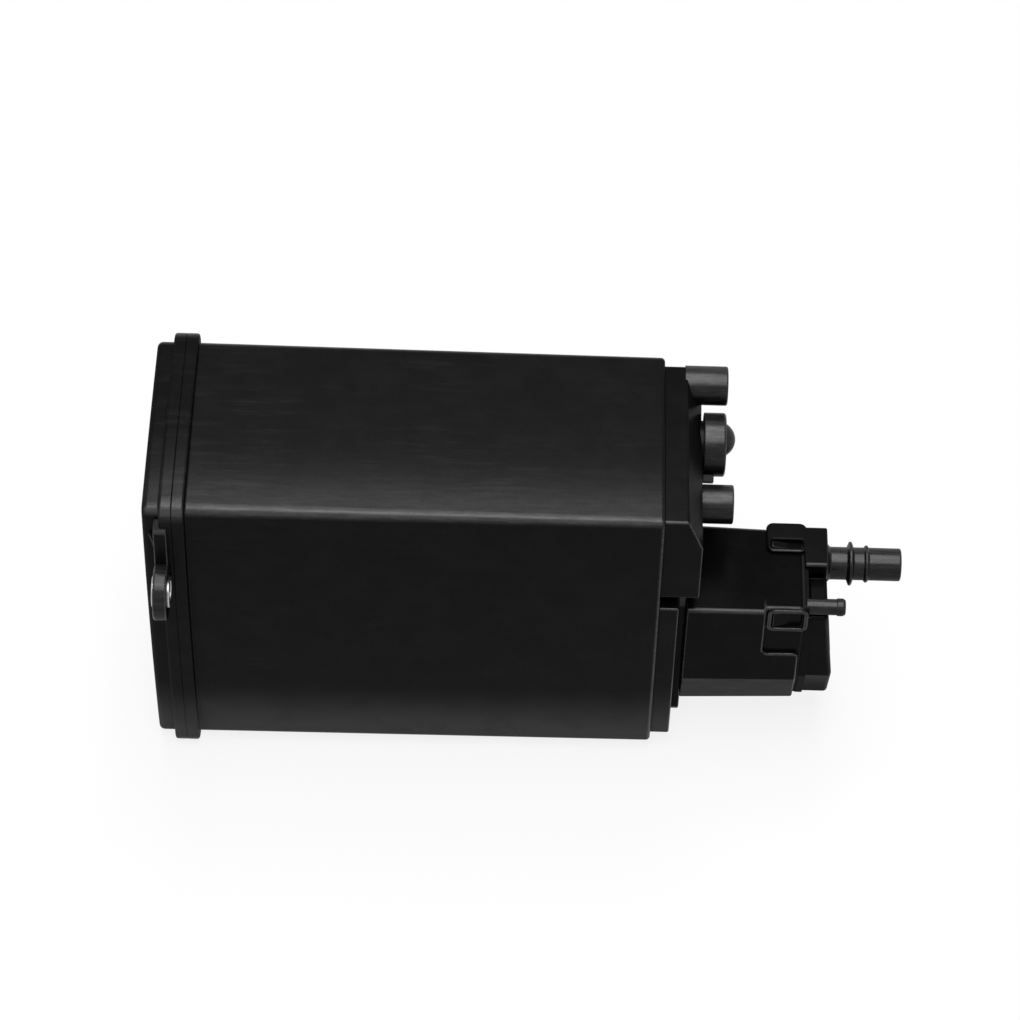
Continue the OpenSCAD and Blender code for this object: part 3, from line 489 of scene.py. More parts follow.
# %% Rows of the housing
# Each row is x, e, how far the notch is open, how far the apron's face is pushed back, the height of the ledge, and
# three marks of wear and painted highlight: for the whole row, for the notch's side and for the apron's face.
BACK_R, BACK_IN, MOUTH_IN, MOUTH_PUSH = 0.8, 6, 0.4, 0.6
a = np.linspace(0, math.pi / 2, 6)
quarter = np.column_stack([1 - np.sin(a), 1 - np.cos(a), np.sin(2 * a)])
ends = NOTCH_Z + NOTCH_R, NOTCH_Z - NOTCH_R
rows = [(BOX_X[0], -BACK_IN, 0, 0, ends[0], 0, 0, 0)]
rows += [(BOX_X[0] + BACK_R * v, -BACK_R * u, 0, 0, ends[0], m, 0, 0) for u, v, m in quarter]
rows += [(NOTCH_X - NOTCH_EDGE * u, 0, NOTCH_EDGE * v / APRON, 0, ends[0], 0, m, 0) for u, v, m in quarter]
rows += [(NOTCH_X + NOTCH_R * v, 0, 1, 0, NOTCH_Z + NOTCH_R * u, 0, 0, 0) for u, v, m in quarter]
rows += [(BOX_X[1] - NOTCH_R + NOTCH_R * math.sin(t), 0, 1, 0, NOTCH_Z - NOTCH_R * (1 - math.cos(t)), 0, 0, 0)
         for t in np.linspace(0, math.asin(1 - 1 / NOTCH_R), 4)]
for u, v, m in quarter:
    drop = NOTCH_R - math.sqrt(max(NOTCH_R ** 2 - (NOTCH_R - u) ** 2, 0))
    rows.append((BOX_X[1] - u, -MOUTH_IN * v, 1, MOUTH_PUSH * v, NOTCH_Z - drop, 0, 0, m))
print("rows of the housing:", len(rows), "with", len(box_ring(0, NOTCH_Z)), "points each")

# %% Housing skin
grid, wear_and_highlight = [], []
for x, e, notch, push, ledge_z, *marks_and_painted_light in rows:
    y, z, edge, depth, face = box_ring(e - BOX_SLOPE * (x - BOX_X[0]), ledge_z).T
    grid.append(np.column_stack([np.full(len(y), x), y + notch * depth + push * face, z]))
    edge = np.where((depth > 0) & (depth < APRON), notch * edge, edge)
    mark = np.max([marks_and_painted_light[0] + 0 * y, marks_and_painted_light[1] * (depth > 0), marks_and_painted_light[2] * face], 0)
    wear_and_highlight.append(np.where(mark > 0, np.maximum(edge, mark), edge))
for x in (BOX_X[1], BOX_X[0] + 0.5):
    y, z = box_ring(-BOX_WALL - BOX_SLOPE * (x - BOX_X[0]), ends[1], 0)[:, :2].T
    grid.append(np.column_stack([np.full(len(y), x), y, z]))
    wear_and_highlight.append(0 * y)
housing_skins = [(np.stack(grid), np.stack(wear_and_highlight), True, True)]
PAD_Y, PAD_Z, PAD_R = BOX_Y[0] + 3.5, BOX_Z[0] - 9, 5
pad = closed_soft([(PAD_Y, BOX_Z[1]), (PAD_Y, PAD_Z), (BOX_Y[1], PAD_Z), (BOX_Y[1], BOX_Z[1])], PAD_R, 8)
housing_skins.append(plate(pad, LOW_END, BOX_X[0] + 0.2, 0.6))
print("housing skin:", housing_skins[0][0].shape, "on a pad", round(BOX_X[0] - LOW_END, 1), "mm thick")

# %% Catches for the snap loops
LOOP_TOP = BOX_Z[1] + LOOP_UP
SLIT_Y = BOX_Y[1] + LOOP_UP - TOP_LOOP_W + LOOP_BAR + SLIT / 2
catch_x = RIM_X[0] - LOOP + LOOP_BAR + 3.4
side_e = -BOX_SLOPE * (catch_x - BOX_X[0])
wedge = np.array([(-3, -1.5), (3, -1.5), (3, 0.4), (-3, LOOP_T)])
CATCH_R, CATCH_EDGE, CATCH_GAP = 0.45, 0.4, 0.4
front = closed_soft(np.column_stack([catch_x + wedge[:, 0], BOX_Y[0] - side_e - wedge[:, 1]]), CATCH_R, 2)
middle, half = LOOP_TOP - LOOP_W / 2, LOOP_W / 2 - LOOP_BAR - 0.5
housing_skins.append(plate(front, middle - half, middle + half, CATCH_EDGE, (0, 1, 2)))
above = closed_soft(np.column_stack([catch_x + wedge[:, 0], BOX_Z[1] + side_e + wedge[:, 1]]), CATCH_R, 2)
half = SLIT / 2 - CATCH_GAP
housing_skins.append(plate(above, SLIT_Y - half, SLIT_Y + half, CATCH_EDGE, (0, 2, 1)))
housing = make_piece("port_box", housing_skins)

# %% [markdown]
# ## The snap cover
# The cover has a rim plate, a raised front with an open corner beside the tank port, a thicker block around that port
# and two snap loops. The front leans out towards its foot, so its end is again a height over shrinking rings. A loop
# is a flat frame: the outer and the inner outline have equally many points, and a closed section runs from one to the
# other.

# %% Rim, front and port block
FRONT_X = RIM_X[1] + 6.1
LOOP_E = 0.2 - BOX_SLOPE * (RIM_X[0] - LOOP - BOX_X[0])
STEP_Y, STEP_Z = BOX_Y[0] + 20.9, BOX_Z[1] - 6.8
BLOCK_Z, LEAN, RIM_R = STEP_Z - 4, 3.8, 2.5
(y0, y1), (z0, z1) = BOX_Y, BOX_Z


def box_outline(e, r, corner=False):
    """The box's corners without its apron, moved outward by e and rounded by r, with the open corner if asked."""
    body = [(y0 - e, z0 + FACET_H), (y0 + FACET_IN - e, z0 - e), (y1 + e, z0 - e), (y1 + e, z1 + e)]
    if corner:
        ends, size = [(STEP_Y, z1 + e), (STEP_Y, STEP_Z), (y0 - e, STEP_Z)], [r, -0.5, -r]
    else:
        ends, size = [(y0 - e, z1 + e)], [r]
    ring = closed_soft(body + ends, [-r, r, r, r] + size, 6)
    slanted = (ring[:, 1] < z0 + FACET_H - 0.05) & (ring[:, 0] < y0 + FACET_IN)
    ring[slanted, 2] = np.maximum(ring[slanted, 2], SLANT_WEAR)
    return ring


def front_end(y, z):
    """Height of the cover's front: flat beside the port, leaning out by LEAN down to the slanted face."""
    return FRONT_X + LEAN * np.clip((BLOCK_Z - z) / (BLOCK_Z - z0 - FACET_H), 0, 1)


# Outlines that would fall together differ by APART, so that no two skins share an edge.
APART = 0.02
cover_skins = [plate(box_outline(MOUTH_E - APART, RIM_R), RIM_X[0], RIM_X[0] + 1.6, 0.3, worn_and_lit=0),
               plate(box_outline(MOUTH_E, RIM_R, True), RIM_X[0] + 1, RIM_X[1], 0.3, worn_and_lit=0),
               domed(box_outline(MOUTH_E - 0.6, 2, True), RIM_X[0] + 1, front_end, 1.6, 12, worn_and_lit=0.4)]
block_y, block_top = y1 + MOUTH_E - 2 * APART, z1 + LOOP_E + LOOP_T
block = closed_soft([(STEP_Y, block_top), (STEP_Y, BLOCK_Z), (block_y, BLOCK_Z), (block_y, block_top)], 1.5, 6)
cover_skins.append(plate(block, RIM_X[0] + 0.1, FRONT_X, 0.7, worn_and_lit=0.8))
print("cover front at", round(FRONT_X, 1), "leaning out to", round(FRONT_X + LEAN, 1))

# %% Snap loops
def loop_frame(outer, inner, w0, w1, axes, face, sides, r=0.75):
    """A flat frame: its section runs outer edge, far face, inner edge, near face and back, with edges rounded by r.
    Wear, which also paints a highlight, is face on the side w0, 1 on the outer edge that looks the near way and sides
    on the other edges."""
    a = np.linspace(0, math.pi / 2, 4)
    rows, wear_and_highlight = [], []
    for ring, sign, turn in ((outer, 1, 1), (inner, -1, -1)):
        near = sides + (1 - sides) * (sign > 0) * np.clip(-normals(ring)[0][:, 1], 0, 1) ** 2
        steps = [(r * (1 - math.sin(t)), w0 + r * (1 - math.cos(t)), math.sin(2 * t), face * math.cos(t)) for t in a]
        steps += [(r * (1 - math.cos(t)), w1 - r * (1 - math.sin(t)), math.sin(2 * t), 0) for t in a]
        for inset, w, edge, flat in steps[::turn]:
            p = np.zeros((len(ring), 3))
            p[:, list(axes[:2])] = move_in(ring, sign * inset)[:, :2]
            p[:, axes[2]] = w
            rows.append(p)
            wear_and_highlight.append(np.maximum(edge * near, flat))
    return np.stack(rows + rows[:1]), np.stack(wear_and_highlight + wear_and_highlight[:1]), False, False


x0, root = RIM_X[0] - LOOP, RIM_X[0] + 1.2
hole_x, HOLE_R, ROOT_R = (x0 + LOOP_BAR, RIM_X[0] - 0.6), 1, 0.2
v = LOOP_TOP - LOOP_W
cover_skins.append(loop_frame(rectangle(x0, root, v, LOOP_TOP, LOOP_R),
                              rectangle(*hole_x, v + LOOP_BAR, LOOP_TOP - LOOP_BAR, HOLE_R),
                              y0 - LOOP_E - LOOP_T, y0 - LOOP_E, (0, 2, 1), 0.7, 1.0))
cover_skins.append(plate(rectangle(RIM_X[0], root, v + LOOP_R, LOOP_TOP - LOOP_R, ROOT_R),
                         y0 - LOOP_E - LOOP_T / 2, y0 - MOUTH_E + 0.6, ROOT_R, (0, 2, 1), worn_and_lit=0))
v = y1 + LOOP_UP - TOP_LOOP_W
cover_skins.append(loop_frame(rectangle(x0, root, v, v + TOP_LOOP_W, LOOP_R),
                              rectangle(*hole_x, v + LOOP_BAR, v + LOOP_BAR + SLIT, HOLE_R),
                              z1 + LOOP_E, z1 + LOOP_E + LOOP_T, (0, 1, 2), 0.0, 0.1))
cover_skins.append(plate(rectangle(RIM_X[0], root, v + LOOP_R, v + TOP_LOOP_W - LOOP_R, ROOT_R),
                         z1 + MOUTH_E - 0.6, z1 + LOOP_E + LOOP_T / 2, ROOT_R, (0, 1, 2), worn_and_lit=0))
print("snap loops:", LOOP_W, "and", TOP_LOOP_W, "mm wide, from x", round(x0, 1))

# %% [markdown]
# ## Hose ports
# The tank port is a turned tube with two beads: a connector latches behind the larger one. The purge nipple is a
# small tube with a thicker end. Both are hollow, so their profiles run round the tip and back down the bore.

# %% Tank port and purge nipple
PORT, PORT_R, PORT_BORE, PORT_LEN = (y1 - 10.1, z1 - 10), 6.35, 4.7, 28.8
COLLAR_R, COLLAR = 7.85, 1.5


def bead(x, r, side, crest):
    """A bead that starts at x: up to the radius r over the length side, level over crest, and down again."""
    return [(PORT_R, x), (r, x + side), (r, x + side + crest), (PORT_R, x + 2 * side + crest)]


path, mark = soften(
    [(COLLAR_R, FRONT_X - 1), (COLLAR_R, FRONT_X), (PORT_R, FRONT_X + COLLAR)]
    + bead(FRONT_X + 7.9, 8.5, 0.85, 0.9) + bead(FRONT_X + 14.4, 7.2, 0.65, 0.7)
    + [(PORT_R, FRONT_X + PORT_LEN), (PORT_BORE, FRONT_X + PORT_LEN), (PORT_BORE, FRONT_X - 4), (0, FRONT_X - 4)],
    [0.3, -0.8, -0.3, 0.4, 0.4, -0.3, -0.2, 0.3, 0.3, -0.2, 0.8, 0.3, 0], 4)
cover_skins.append(turned(*PORT, path, mark, 72, first=True, handled_and_top_lit=HANDLED_AND_TOP_LIT))
NIPPLE, NIPPLE_R, NIPPLE_END, NIPPLE_BORE = (y0 + 4.5, z1 - 3.4), 3.1, 3.4, 1.9
tip = RIM_X[1] + 12.3
path, mark = soften([(NIPPLE_R, RIM_X[0] + 0.6), (NIPPLE_R, tip - 3.3), (NIPPLE_END, tip - 3.1),
                     (NIPPLE_END, tip - 1), (2.8, tip), (NIPPLE_BORE, tip), (NIPPLE_BORE, RIM_X[1]), (0, RIM_X[1])],
                    [0.2, 0.1, 0.4, 0.3, 0.2, 0], 3)
cover_skins.append(turned(*NIPPLE, path, mark, 48, first=True, handled_and_top_lit=HANDLED_AND_TOP_LIT))
cover = make_piece("snap_cover", cover_skins)

# %% [markdown]
# ## Breather cap, bush and inserts
# The cap is turned, with a small dome beside its middle and a lug towards the near boss. The bush is a plain steel
# ring. The inserts have a real screw thread inside: the bore's radius swings with the turn and the height, so one
# formula of two parameters gives the whole helix.

# %% Breather cap
CAP_X, CAP_R, CAP_T = (UP_END + 0.8, UP_END + 9.2), 12.2, 1.4
path, mark = soften([(0, CAP_X[1] - CAP_T), (CAP_R - CAP_T, CAP_X[1] - CAP_T), (CAP_R - CAP_T, CAP_X[0]),
                     (CAP_R, CAP_X[0]), (CAP_R, CAP_X[1]), (0, CAP_X[1])], [0, 0.3, 0.4, 1.0], 5)
cap_skins = [turned(*BREATHER, path, mark, handled_and_top_lit=HANDLED_AND_TOP_LIT)]
DOME_R, DOME_H, DOME_Y, DOME_Z = 6.2, 3.8, BREATHER[0] + 1.56, BREATHER[1] + 1.26
ball = (DOME_R ** 2 + DOME_H ** 2) / (2 * DOME_H)
a = np.linspace(math.asin(DOME_R / ball), 0, 10)
path = np.column_stack([ball * np.sin(a), CAP_X[1] + DOME_H - ball + ball * np.cos(a)])
path = np.concatenate([[(DOME_R, CAP_X[1] - 0.5)], path])
cap_skins.append(turned(DOME_Y, DOME_Z, path, np.zeros(len(path)), 48, first=True, handled_and_top_lit=HANDLED_AND_TOP_LIT))
LUG, LUG_HALF, LUG_LONG = (11.5, 14.8), 2, 4.2
away = np.array(NEAR_BOSS) - BREATHER
away /= np.linalg.norm(away)
across = LUG_HALF * np.array([-away[1], away[0]])
lug = BREATHER + np.array([away * LUG[0] - across, away * LUG[1] - across, away * LUG[1] + across,
                           away * LUG[0] + across])
cap_skins.append(plate(closed_soft(lug, 0.3, 2), CAP_X[0], CAP_X[0] + LUG_LONG, 0.3))
cap = make_piece("breather_cap", cap_skins)

# %% Bush and inserts
BUSH_R, BUSH_BORE, BUSH_X = 6, 4.2, (EAR_X[0] - 0.8, EAR_X[1] + 0.8)
path, mark = soften([(BUSH_BORE, 0), (BUSH_BORE, BUSH_X[0]), (BUSH_R, BUSH_X[0]), (BUSH_R, BUSH_X[1]),
                     (BUSH_BORE, BUSH_X[1]), (BUSH_BORE, sum(BUSH_X) / 2)], [0.4, 0.4, 0.4, 0.4], 4)
path[0] = path[-1]
bush = make_piece("eye_bush", [turned(EAR_Y, EAR_Z, path, mark, 72)])
INSERT_R, GROOVE_R, RIDGE, PITCH, RUN_OUT = 4.0, 2.92, 0.42, 1.0, 0.6


def thread(y, z, end, length, n=64, rows=97):
    """Bore radius GROOVE_R - RIDGE (1 - |2 s - 1|), with s the fraction of (x / PITCH + f / 360 degrees): one ridge
    per turn, which fades over RUN_OUT at both ends."""
    f = np.linspace(0, 2 * math.pi, n, endpoint=False)
    x = np.linspace(end - length, end, rows)[:, None]
    s = (x / PITCH + f / (2 * math.pi)) % 1
    fade = np.clip((end - x) / RUN_OUT, 0, 1) * np.clip((x - end + length) / RUN_OUT, 0, 1)
    r = GROOVE_R - RIDGE * fade * (1 - np.abs(2 * s - 1))
    r = np.concatenate([r, np.outer([INSERT_R - 0.2, INSERT_R, INSERT_R], np.ones(n)), r[:1]])
    x = np.concatenate([x, [[end], [end - 0.2], [end - length]], x[:1]])
    return np.stack([x + 0 * f, y + r * np.cos(f), z + r * np.sin(f)], -1), np.zeros(len(x)), False, False


inserts = make_piece("screw_inserts", [thread(*FAR_BOSS, BOSS_END["far"], INSERT_LEN),
                                       thread(*NEAR_BOSS, BOSS_END["near"], INSERT_LEN)])

# %% [markdown]
# ## Joining the frame
# Each new piece rides on the one body and stands for the solid that it was made after. The inner pieces, which only a
# cut-open view shows, stay as they are and get a finish too.

# %% Ride and replace
for piece, node, slot in ((shell, "canister_body", "shell_plastic"), (lid, "end_lid", "shell_plastic"),
                          (housing, "port_housing", "housing_plastic"), (cover, "port_cover", "housing_plastic"),
                          (cap, "vent_cap", "cap_plastic"), (bush, "ear_bush", "zinc_steel"),
                          (inserts, "boss_inserts", "brass")):
    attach(piece, "root")
    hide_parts(node)
    lo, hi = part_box(node)
    co = np.zeros(3 * len(piece.data.vertices), np.float32)
    piece.data.vertices.foreach_get("co", co)
    co = co.reshape(-1, 3)
    off = np.concatenate([co.min(0) - lo, co.max(0) - hi]) * 1000
    print(f"{piece.name}: off its solid's box by", np.round(off, 2), "mm")

# %% [markdown]
# ## Shared effects
# Five effects are node groups with named inputs: the fine grain of a moulding tool, streaky scuffs along the shell,
# mostly on its top towards the lid, where they also paint a sheen, cloudy handling marks, rubbed edges that read the
# wear value of the points and paint a highlight on them, and a painted reflection of the floor on the lowest few
# centimetres. Each could be a painted picture, but noise on the object's own coordinates needs no picture and has no
# seam. Groups give out masks and heights only; the shader itself stays in each material.

# %% Helpers for node groups
def new_group(name, inputs, outputs):
    """An empty shader group with float sockets; inputs is a dict of defaults."""
    tree = bpy.data.node_groups.new(name, "ShaderNodeTree")
    for key, value in inputs.items():
        tree.interface.new_socket(key, in_out="INPUT", socket_type="NodeSocketFloat").default_value = value
    for key in outputs:
        tree.interface.new_socket(key, in_out="OUTPUT", socket_type="NodeSocketFloat")
    return tree, tree.nodes.new("NodeGroupInput"), tree.nodes.new("NodeGroupOutput")


def node(tree, kind, links=(), **values):
    """Adds a node, sets its properties or socket values by name, and links (socket, source) pairs into it."""
    made = tree.nodes.new(kind)
    for key, value in values.items():
        if hasattr(made, key):
            setattr(made, key, value)
        else:
            made.inputs[key.replace("_", " ")].default_value = value
    for socket, source in links:
        tree.links.new(source, made.inputs[socket])
    return made


def ramp(tree, source, low, high, to_low=0.0, to_high=1.0):
    """Smooth step: values from low to high become to_low to to_high."""
    made = node(tree, "ShaderNodeMapRange", [(0, source)], interpolation_type="SMOOTHSTEP")
    for i, value in enumerate((low, high, to_low, to_high)):
        made.inputs[i + 1].default_value = value
    return made.outputs[0]


def maths(tree, kind, a, b):
    """One step of arithmetic, such as a sum or a product; a and b are sockets or numbers."""
    made = tree.nodes.new("ShaderNodeMath")
    made.operation = kind
    for socket, value in zip(made.inputs, (a, b)):
        if isinstance(value, (int, float)):
            socket.default_value = value
        else:
            tree.links.new(value, socket)
    return made.outputs[0]


# %% Grain, and scuffs with a painted sheen
grain, gin, gout = new_group("mould_grain", {"Scale": 2600.0}, ["Height"])
coords = node(grain, "ShaderNodeTexCoord").outputs["Object"]
fine = node(grain, "ShaderNodeTexNoise", [("Vector", coords), ("Scale", gin.outputs["Scale"])],
            Detail=3.0, Roughness=0.6)
grain.links.new(fine.outputs[0], gout.inputs["Height"])

# Real scuffs, gathered on the top towards the lid, where their lighter colour also paints a sheen.
scuffs_and_sheen, gin, gout = new_group("long_scuffs_and_top_sheen", {"Amount": 0.5}, ["Mask"])
coords = node(scuffs_and_sheen, "ShaderNodeTexCoord").outputs["Object"]
stretched = node(scuffs_and_sheen, "ShaderNodeMapping", [("Vector", coords)])
stretched.inputs["Scale"].default_value = (42.0, 330.0, 330.0)
streak = node(scuffs_and_sheen, "ShaderNodeTexNoise", [("Vector", stretched.outputs[0])],
              Scale=1.0, Detail=4.0, Roughness=0.65)
patch = node(scuffs_and_sheen, "ShaderNodeTexNoise", [("Vector", coords)], Scale=16.0, Detail=2.0)
lines = ramp(scuffs_and_sheen, streak.outputs[0], 0.48, 0.72)
where = ramp(scuffs_and_sheen, patch.outputs[0], 0.36, 0.62)
place = node(scuffs_and_sheen, "ShaderNodeSeparateXYZ", [(0, coords)]).outputs
# in metres: scuffs, and the painted sheen that they give the shell's top, grow over these heights and fade over these
# places along the shell
SCUFF_AND_SHEEN_Z, SCUFF_AND_SHEEN_X = (0.142, 0.1437), (-0.06, 0.05)
where = maths(scuffs_and_sheen, "MULTIPLY", where, ramp(scuffs_and_sheen, place["Z"], *SCUFF_AND_SHEEN_Z, 0.25, 1))
where = maths(scuffs_and_sheen, "MULTIPLY", where, ramp(scuffs_and_sheen, place["X"], *SCUFF_AND_SHEEN_X, 1, 0.3))
mask = maths(scuffs_and_sheen, "MULTIPLY", maths(scuffs_and_sheen, "MULTIPLY", lines, where), gin.outputs["Amount"])
scuffs_and_sheen.links.new(mask, gout.inputs["Mask"])
print("first effects:", [g.name for g in bpy.data.node_groups])

# %% Clouds, and rubbed edges with a painted highlight
clouds, gin, gout = new_group("handling_clouds", {"Scale": 22.0, "Low": 0.4, "High": 0.65}, ["Mask"])
coords = node(clouds, "ShaderNodeTexCoord").outputs["Object"]
cloud = node(clouds, "ShaderNodeTexNoise", [("Vector", coords), ("Scale", gin.outputs["Scale"])],
             Detail=5.0, Roughness=0.62)
step = node(clouds, "ShaderNodeMapRange", [(0, cloud.outputs[0]), (1, gin.outputs["Low"]), (2, gin.outputs["High"])],
            interpolation_type="SMOOTHSTEP")
clouds.links.new(step.outputs[0], gout.inputs["Mask"])

# Rubbed edges: the mask of the wear value, which also lightens the edges as a painted highlight.
rubbed_and_lit, gin, gout = new_group("rubbed_and_lit_edges", {"Amount": 0.6}, ["Mask"])
edge = node(rubbed_and_lit, "ShaderNodeAttribute", attribute_name="wear_and_highlight").outputs["Fac"]
coords = node(rubbed_and_lit, "ShaderNodeTexCoord").outputs["Object"]
stretched = node(rubbed_and_lit, "ShaderNodeMapping", [("Vector", coords)])
stretched.inputs["Scale"].default_value = (90.0, 700.0, 700.0)
broken = node(rubbed_and_lit, "ShaderNodeTexNoise", [("Vector", stretched.outputs[0])],
              Scale=1.0, Detail=4.0, Roughness=0.7)
spots = ramp(rubbed_and_lit, broken.outputs[0], 0.35, 0.65, 0.72, 0.92)
mask = maths(rubbed_and_lit, "MULTIPLY", maths(rubbed_and_lit, "MULTIPLY", edge, spots), gin.outputs["Amount"])
rubbed_and_lit.links.new(mask, gout.inputs["Mask"])
print("edges read the attribute wear")

# %% Painted floor reflection low down
REFLECTION_TOP = 0.045    # metres above the floor
# Lighter colour on the lowest few centimetres: a painted reflection of the pale floor.
low_floor_reflection, gin, gout = new_group("low_floor_reflection", {"Amount": 0.0}, ["Mask"])
coords = node(low_floor_reflection, "ShaderNodeTexCoord").outputs["Object"]
height = node(low_floor_reflection, "ShaderNodeSeparateXYZ", [(0, coords)]).outputs["Z"]
patch = node(low_floor_reflection, "ShaderNodeTexNoise", [("Vector", coords)], Scale=60.0, Detail=3.0)
layer = ramp(low_floor_reflection, height, 0.0, REFLECTION_TOP, 1, 0)
mask = maths(low_floor_reflection, "MULTIPLY", layer, ramp(low_floor_reflection, patch.outputs[0], 0.3, 0.6, 0.8, 1))
low_floor_reflection.links.new(maths(low_floor_reflection, "MULTIPLY", mask, gin.outputs["Amount"]), gout.inputs["Mask"])
print("shared effects:", [g.name for g in bpy.data.node_groups])

# %% [markdown]
# ## Black mouldings
# All the mouldings are black polyamide, but they don't look alike: the shell is dull, scuffed from handling and
# painted lighter below as a reflection of the floor, the housing is cleaner and smoother. One function builds the
# finish and its numbers make the difference. The colour stays near black: the scuffs and clouds lift it a little and
# change the roughness, as real marks do, the scuffs also paint a sheen on the shell's top, and the edges and the
# lowest part get a painted highlight and a painted reflection, which change the roughness too. The shine is a thin
# coat, because its
# weight can follow the wear: more where hands have polished the grain away, less on the faces that the tool left
# duller.

# %% Helpers for materials
def new_material(name, roughness, metallic=0.0, specular=0.5):
    """A Principled material; numbers that are the same all over sit on the shader's own sockets."""
    mat = bpy.data.materials.new(name)
    mat.use_nodes = True
    tree = mat.node_tree
    shader = tree.nodes["Principled BSDF"]
    shader.inputs["Roughness"].default_value = roughness
    shader.inputs["Metallic"].default_value = metallic
    shader.inputs["Specular IOR Level"].default_value = specular
    return mat, tree, shader


def use_group(tree, group, **values):
    """Places a shared effect with its own values."""
    made = tree.nodes.new("ShaderNodeGroup")
    made.node_tree = group
    for key, value in values.items():
        made.inputs[key].default_value = value
    return made.outputs[0]


def tint(tree, shader, dark, light, mask):
    """Base colour from dark to light by a mask."""
    mix = node(tree, "ShaderNodeMix", data_type="RGBA")
    mix.inputs["A"].default_value, mix.inputs["B"].default_value = (*dark, 1), (*light, 1)
    tree.links.new(mask, mix.inputs["Factor"])
    tree.links.new(mix.outputs["Result"], shader.inputs["Base Color"])


def bump(tree, shader, height, strength, distance):
    """Relief of the surface from a height between 0 and 1."""
    made = node(tree, "ShaderNodeBump", [("Height", height)], Strength=strength, Distance=distance)
    tree.links.new(made.outputs[0], shader.inputs["Normal"])


# %% Plastic finishes
STREAK_AND_SHEEN_TINT, CLOUD_TINT, CLOUD_SCALE, EDGE_AMOUNT, GRAIN_SCALE = 0.3, 0.035, 75.0, 0.9, 2600.0
GRAIN_STRENGTH, GRAIN_DEPTH = 0.35, 0.00004


def plastic(name, dark, light, gloss, rough, coat_rough=0.3, scuff_and_sheen=0.3, floor_reflection=0.0):
    """Black moulding: scuffs with a painted sheen on the top, clouds, rubbed edges with a painted highlight and a
    painted reflection of the floor low down set colour and roughness. The coat's weight runs from gloss[0] on the
    grained faces to gloss[1] where hands have polished them, and down where the wear value is below 0."""
    mat, tree, shader = new_material(name, 0.5, specular=0.0)
    shader.inputs["Coat Roughness"].default_value = coat_rough
    streaks_and_sheen = maths(tree, "MULTIPLY", use_group(tree, scuffs_and_sheen, Amount=scuff_and_sheen), STREAK_AND_SHEEN_TINT)
    cloud = maths(tree, "MULTIPLY", use_group(tree, clouds, Scale=CLOUD_SCALE), CLOUD_TINT)
    edge = use_group(tree, rubbed_and_lit, Amount=EDGE_AMOUNT)
    # The colour is lifted by scuffs, with a painted sheen on the top, by clouds, by rubbed edges with a painted
    # highlight and by a painted reflection of the floor low down.
    marks_and_painted_light = maths(tree, "ADD", maths(tree, "ADD", streaks_and_sheen, cloud), ramp(tree, edge, 0.4, 0.9, 0, 0.8))
    marks_and_painted_light = maths(tree, "ADD", marks_and_painted_light, use_group(tree, low_floor_reflection, Amount=floor_reflection))
    tint(tree, shader, (dark,) * 3, (light,) * 3, marks_and_painted_light)
    fine = use_group(tree, grain, Scale=GRAIN_SCALE)
    tree.links.new(ramp(tree, marks_and_painted_light, 0, 1, *rough), shader.inputs["Roughness"])
    shine = maths(tree, "MULTIPLY", ramp(tree, edge, 0, 0.8, *gloss), ramp(tree, edge, -0.3, 0, 0.3, 1))
    shine = maths(tree, "MULTIPLY", shine, ramp(tree, fine, 0.3, 0.7, 0.8, 1.2))
    tree.links.new(shine, shader.inputs["Coat Weight"])
    bump(tree, shader, fine, GRAIN_STRENGTH, GRAIN_DEPTH)
    return mat


shell_plastic = plastic("shell_plastic", dark=0.0035, light=0.05, gloss=(0.12, 0.6), rough=(0.5, 0.65),
                        scuff_and_sheen=0.5, floor_reflection=1.3)
housing_plastic = plastic("housing_plastic", dark=0.003, light=0.04, gloss=(0.085, 0.6), rough=(0.45, 0.6),
                          coat_rough=0.24, scuff_and_sheen=0.15)
cap_plastic = plastic("cap_plastic", dark=0.0035, light=0.04, gloss=(0.12, 0.6), rough=(0.45, 0.6),
                      coat_rough=0.26, scuff_and_sheen=0.15)
plate_plastic = plastic("plate_plastic", dark=0.012, light=0.04, gloss=(0.3, 0.5), rough=(0.5, 0.65),
                        coat_rough=0.35, scuff_and_sheen=0.2)
print("plastics:", [m.name for m in (shell_plastic, housing_plastic, cap_plastic, plate_plastic)])

# %% [markdown]
# ## Metals
# The bush is zinc plated, the inserts are turned brass and the springs are drawn wire. Turned metal has fine lines
# round its axis, so a noise that is squeezed along that axis changes the roughness. The wire bends all ways, so its
# noise is even.

# %% Metal finishes
def metal(name, colour, dull, rough, stretch):
    """Metal with fine lines: noise stretched by the given scale sets roughness and a slight tarnish."""
    mat, tree, shader = new_material(name, 0.3, 1.0)
    coords = node(tree, "ShaderNodeTexCoord").outputs["Object"]
    lines = node(tree, "ShaderNodeMapping", [("Vector", coords)])
    lines.inputs["Scale"].default_value = stretch
    streak = node(tree, "ShaderNodeTexNoise", [("Vector", lines.outputs[0])],
                  Scale=1.0, Detail=5.0, Roughness=0.6)
    cloud = use_group(tree, clouds, Scale=120.0)
    tint(tree, shader, colour, dull, cloud)
    tree.links.new(ramp(tree, streak.outputs[0], 0.3, 0.7, *rough), shader.inputs["Roughness"])
    bump(tree, shader, streak.outputs[0], 0.2, 0.00003)
    return mat


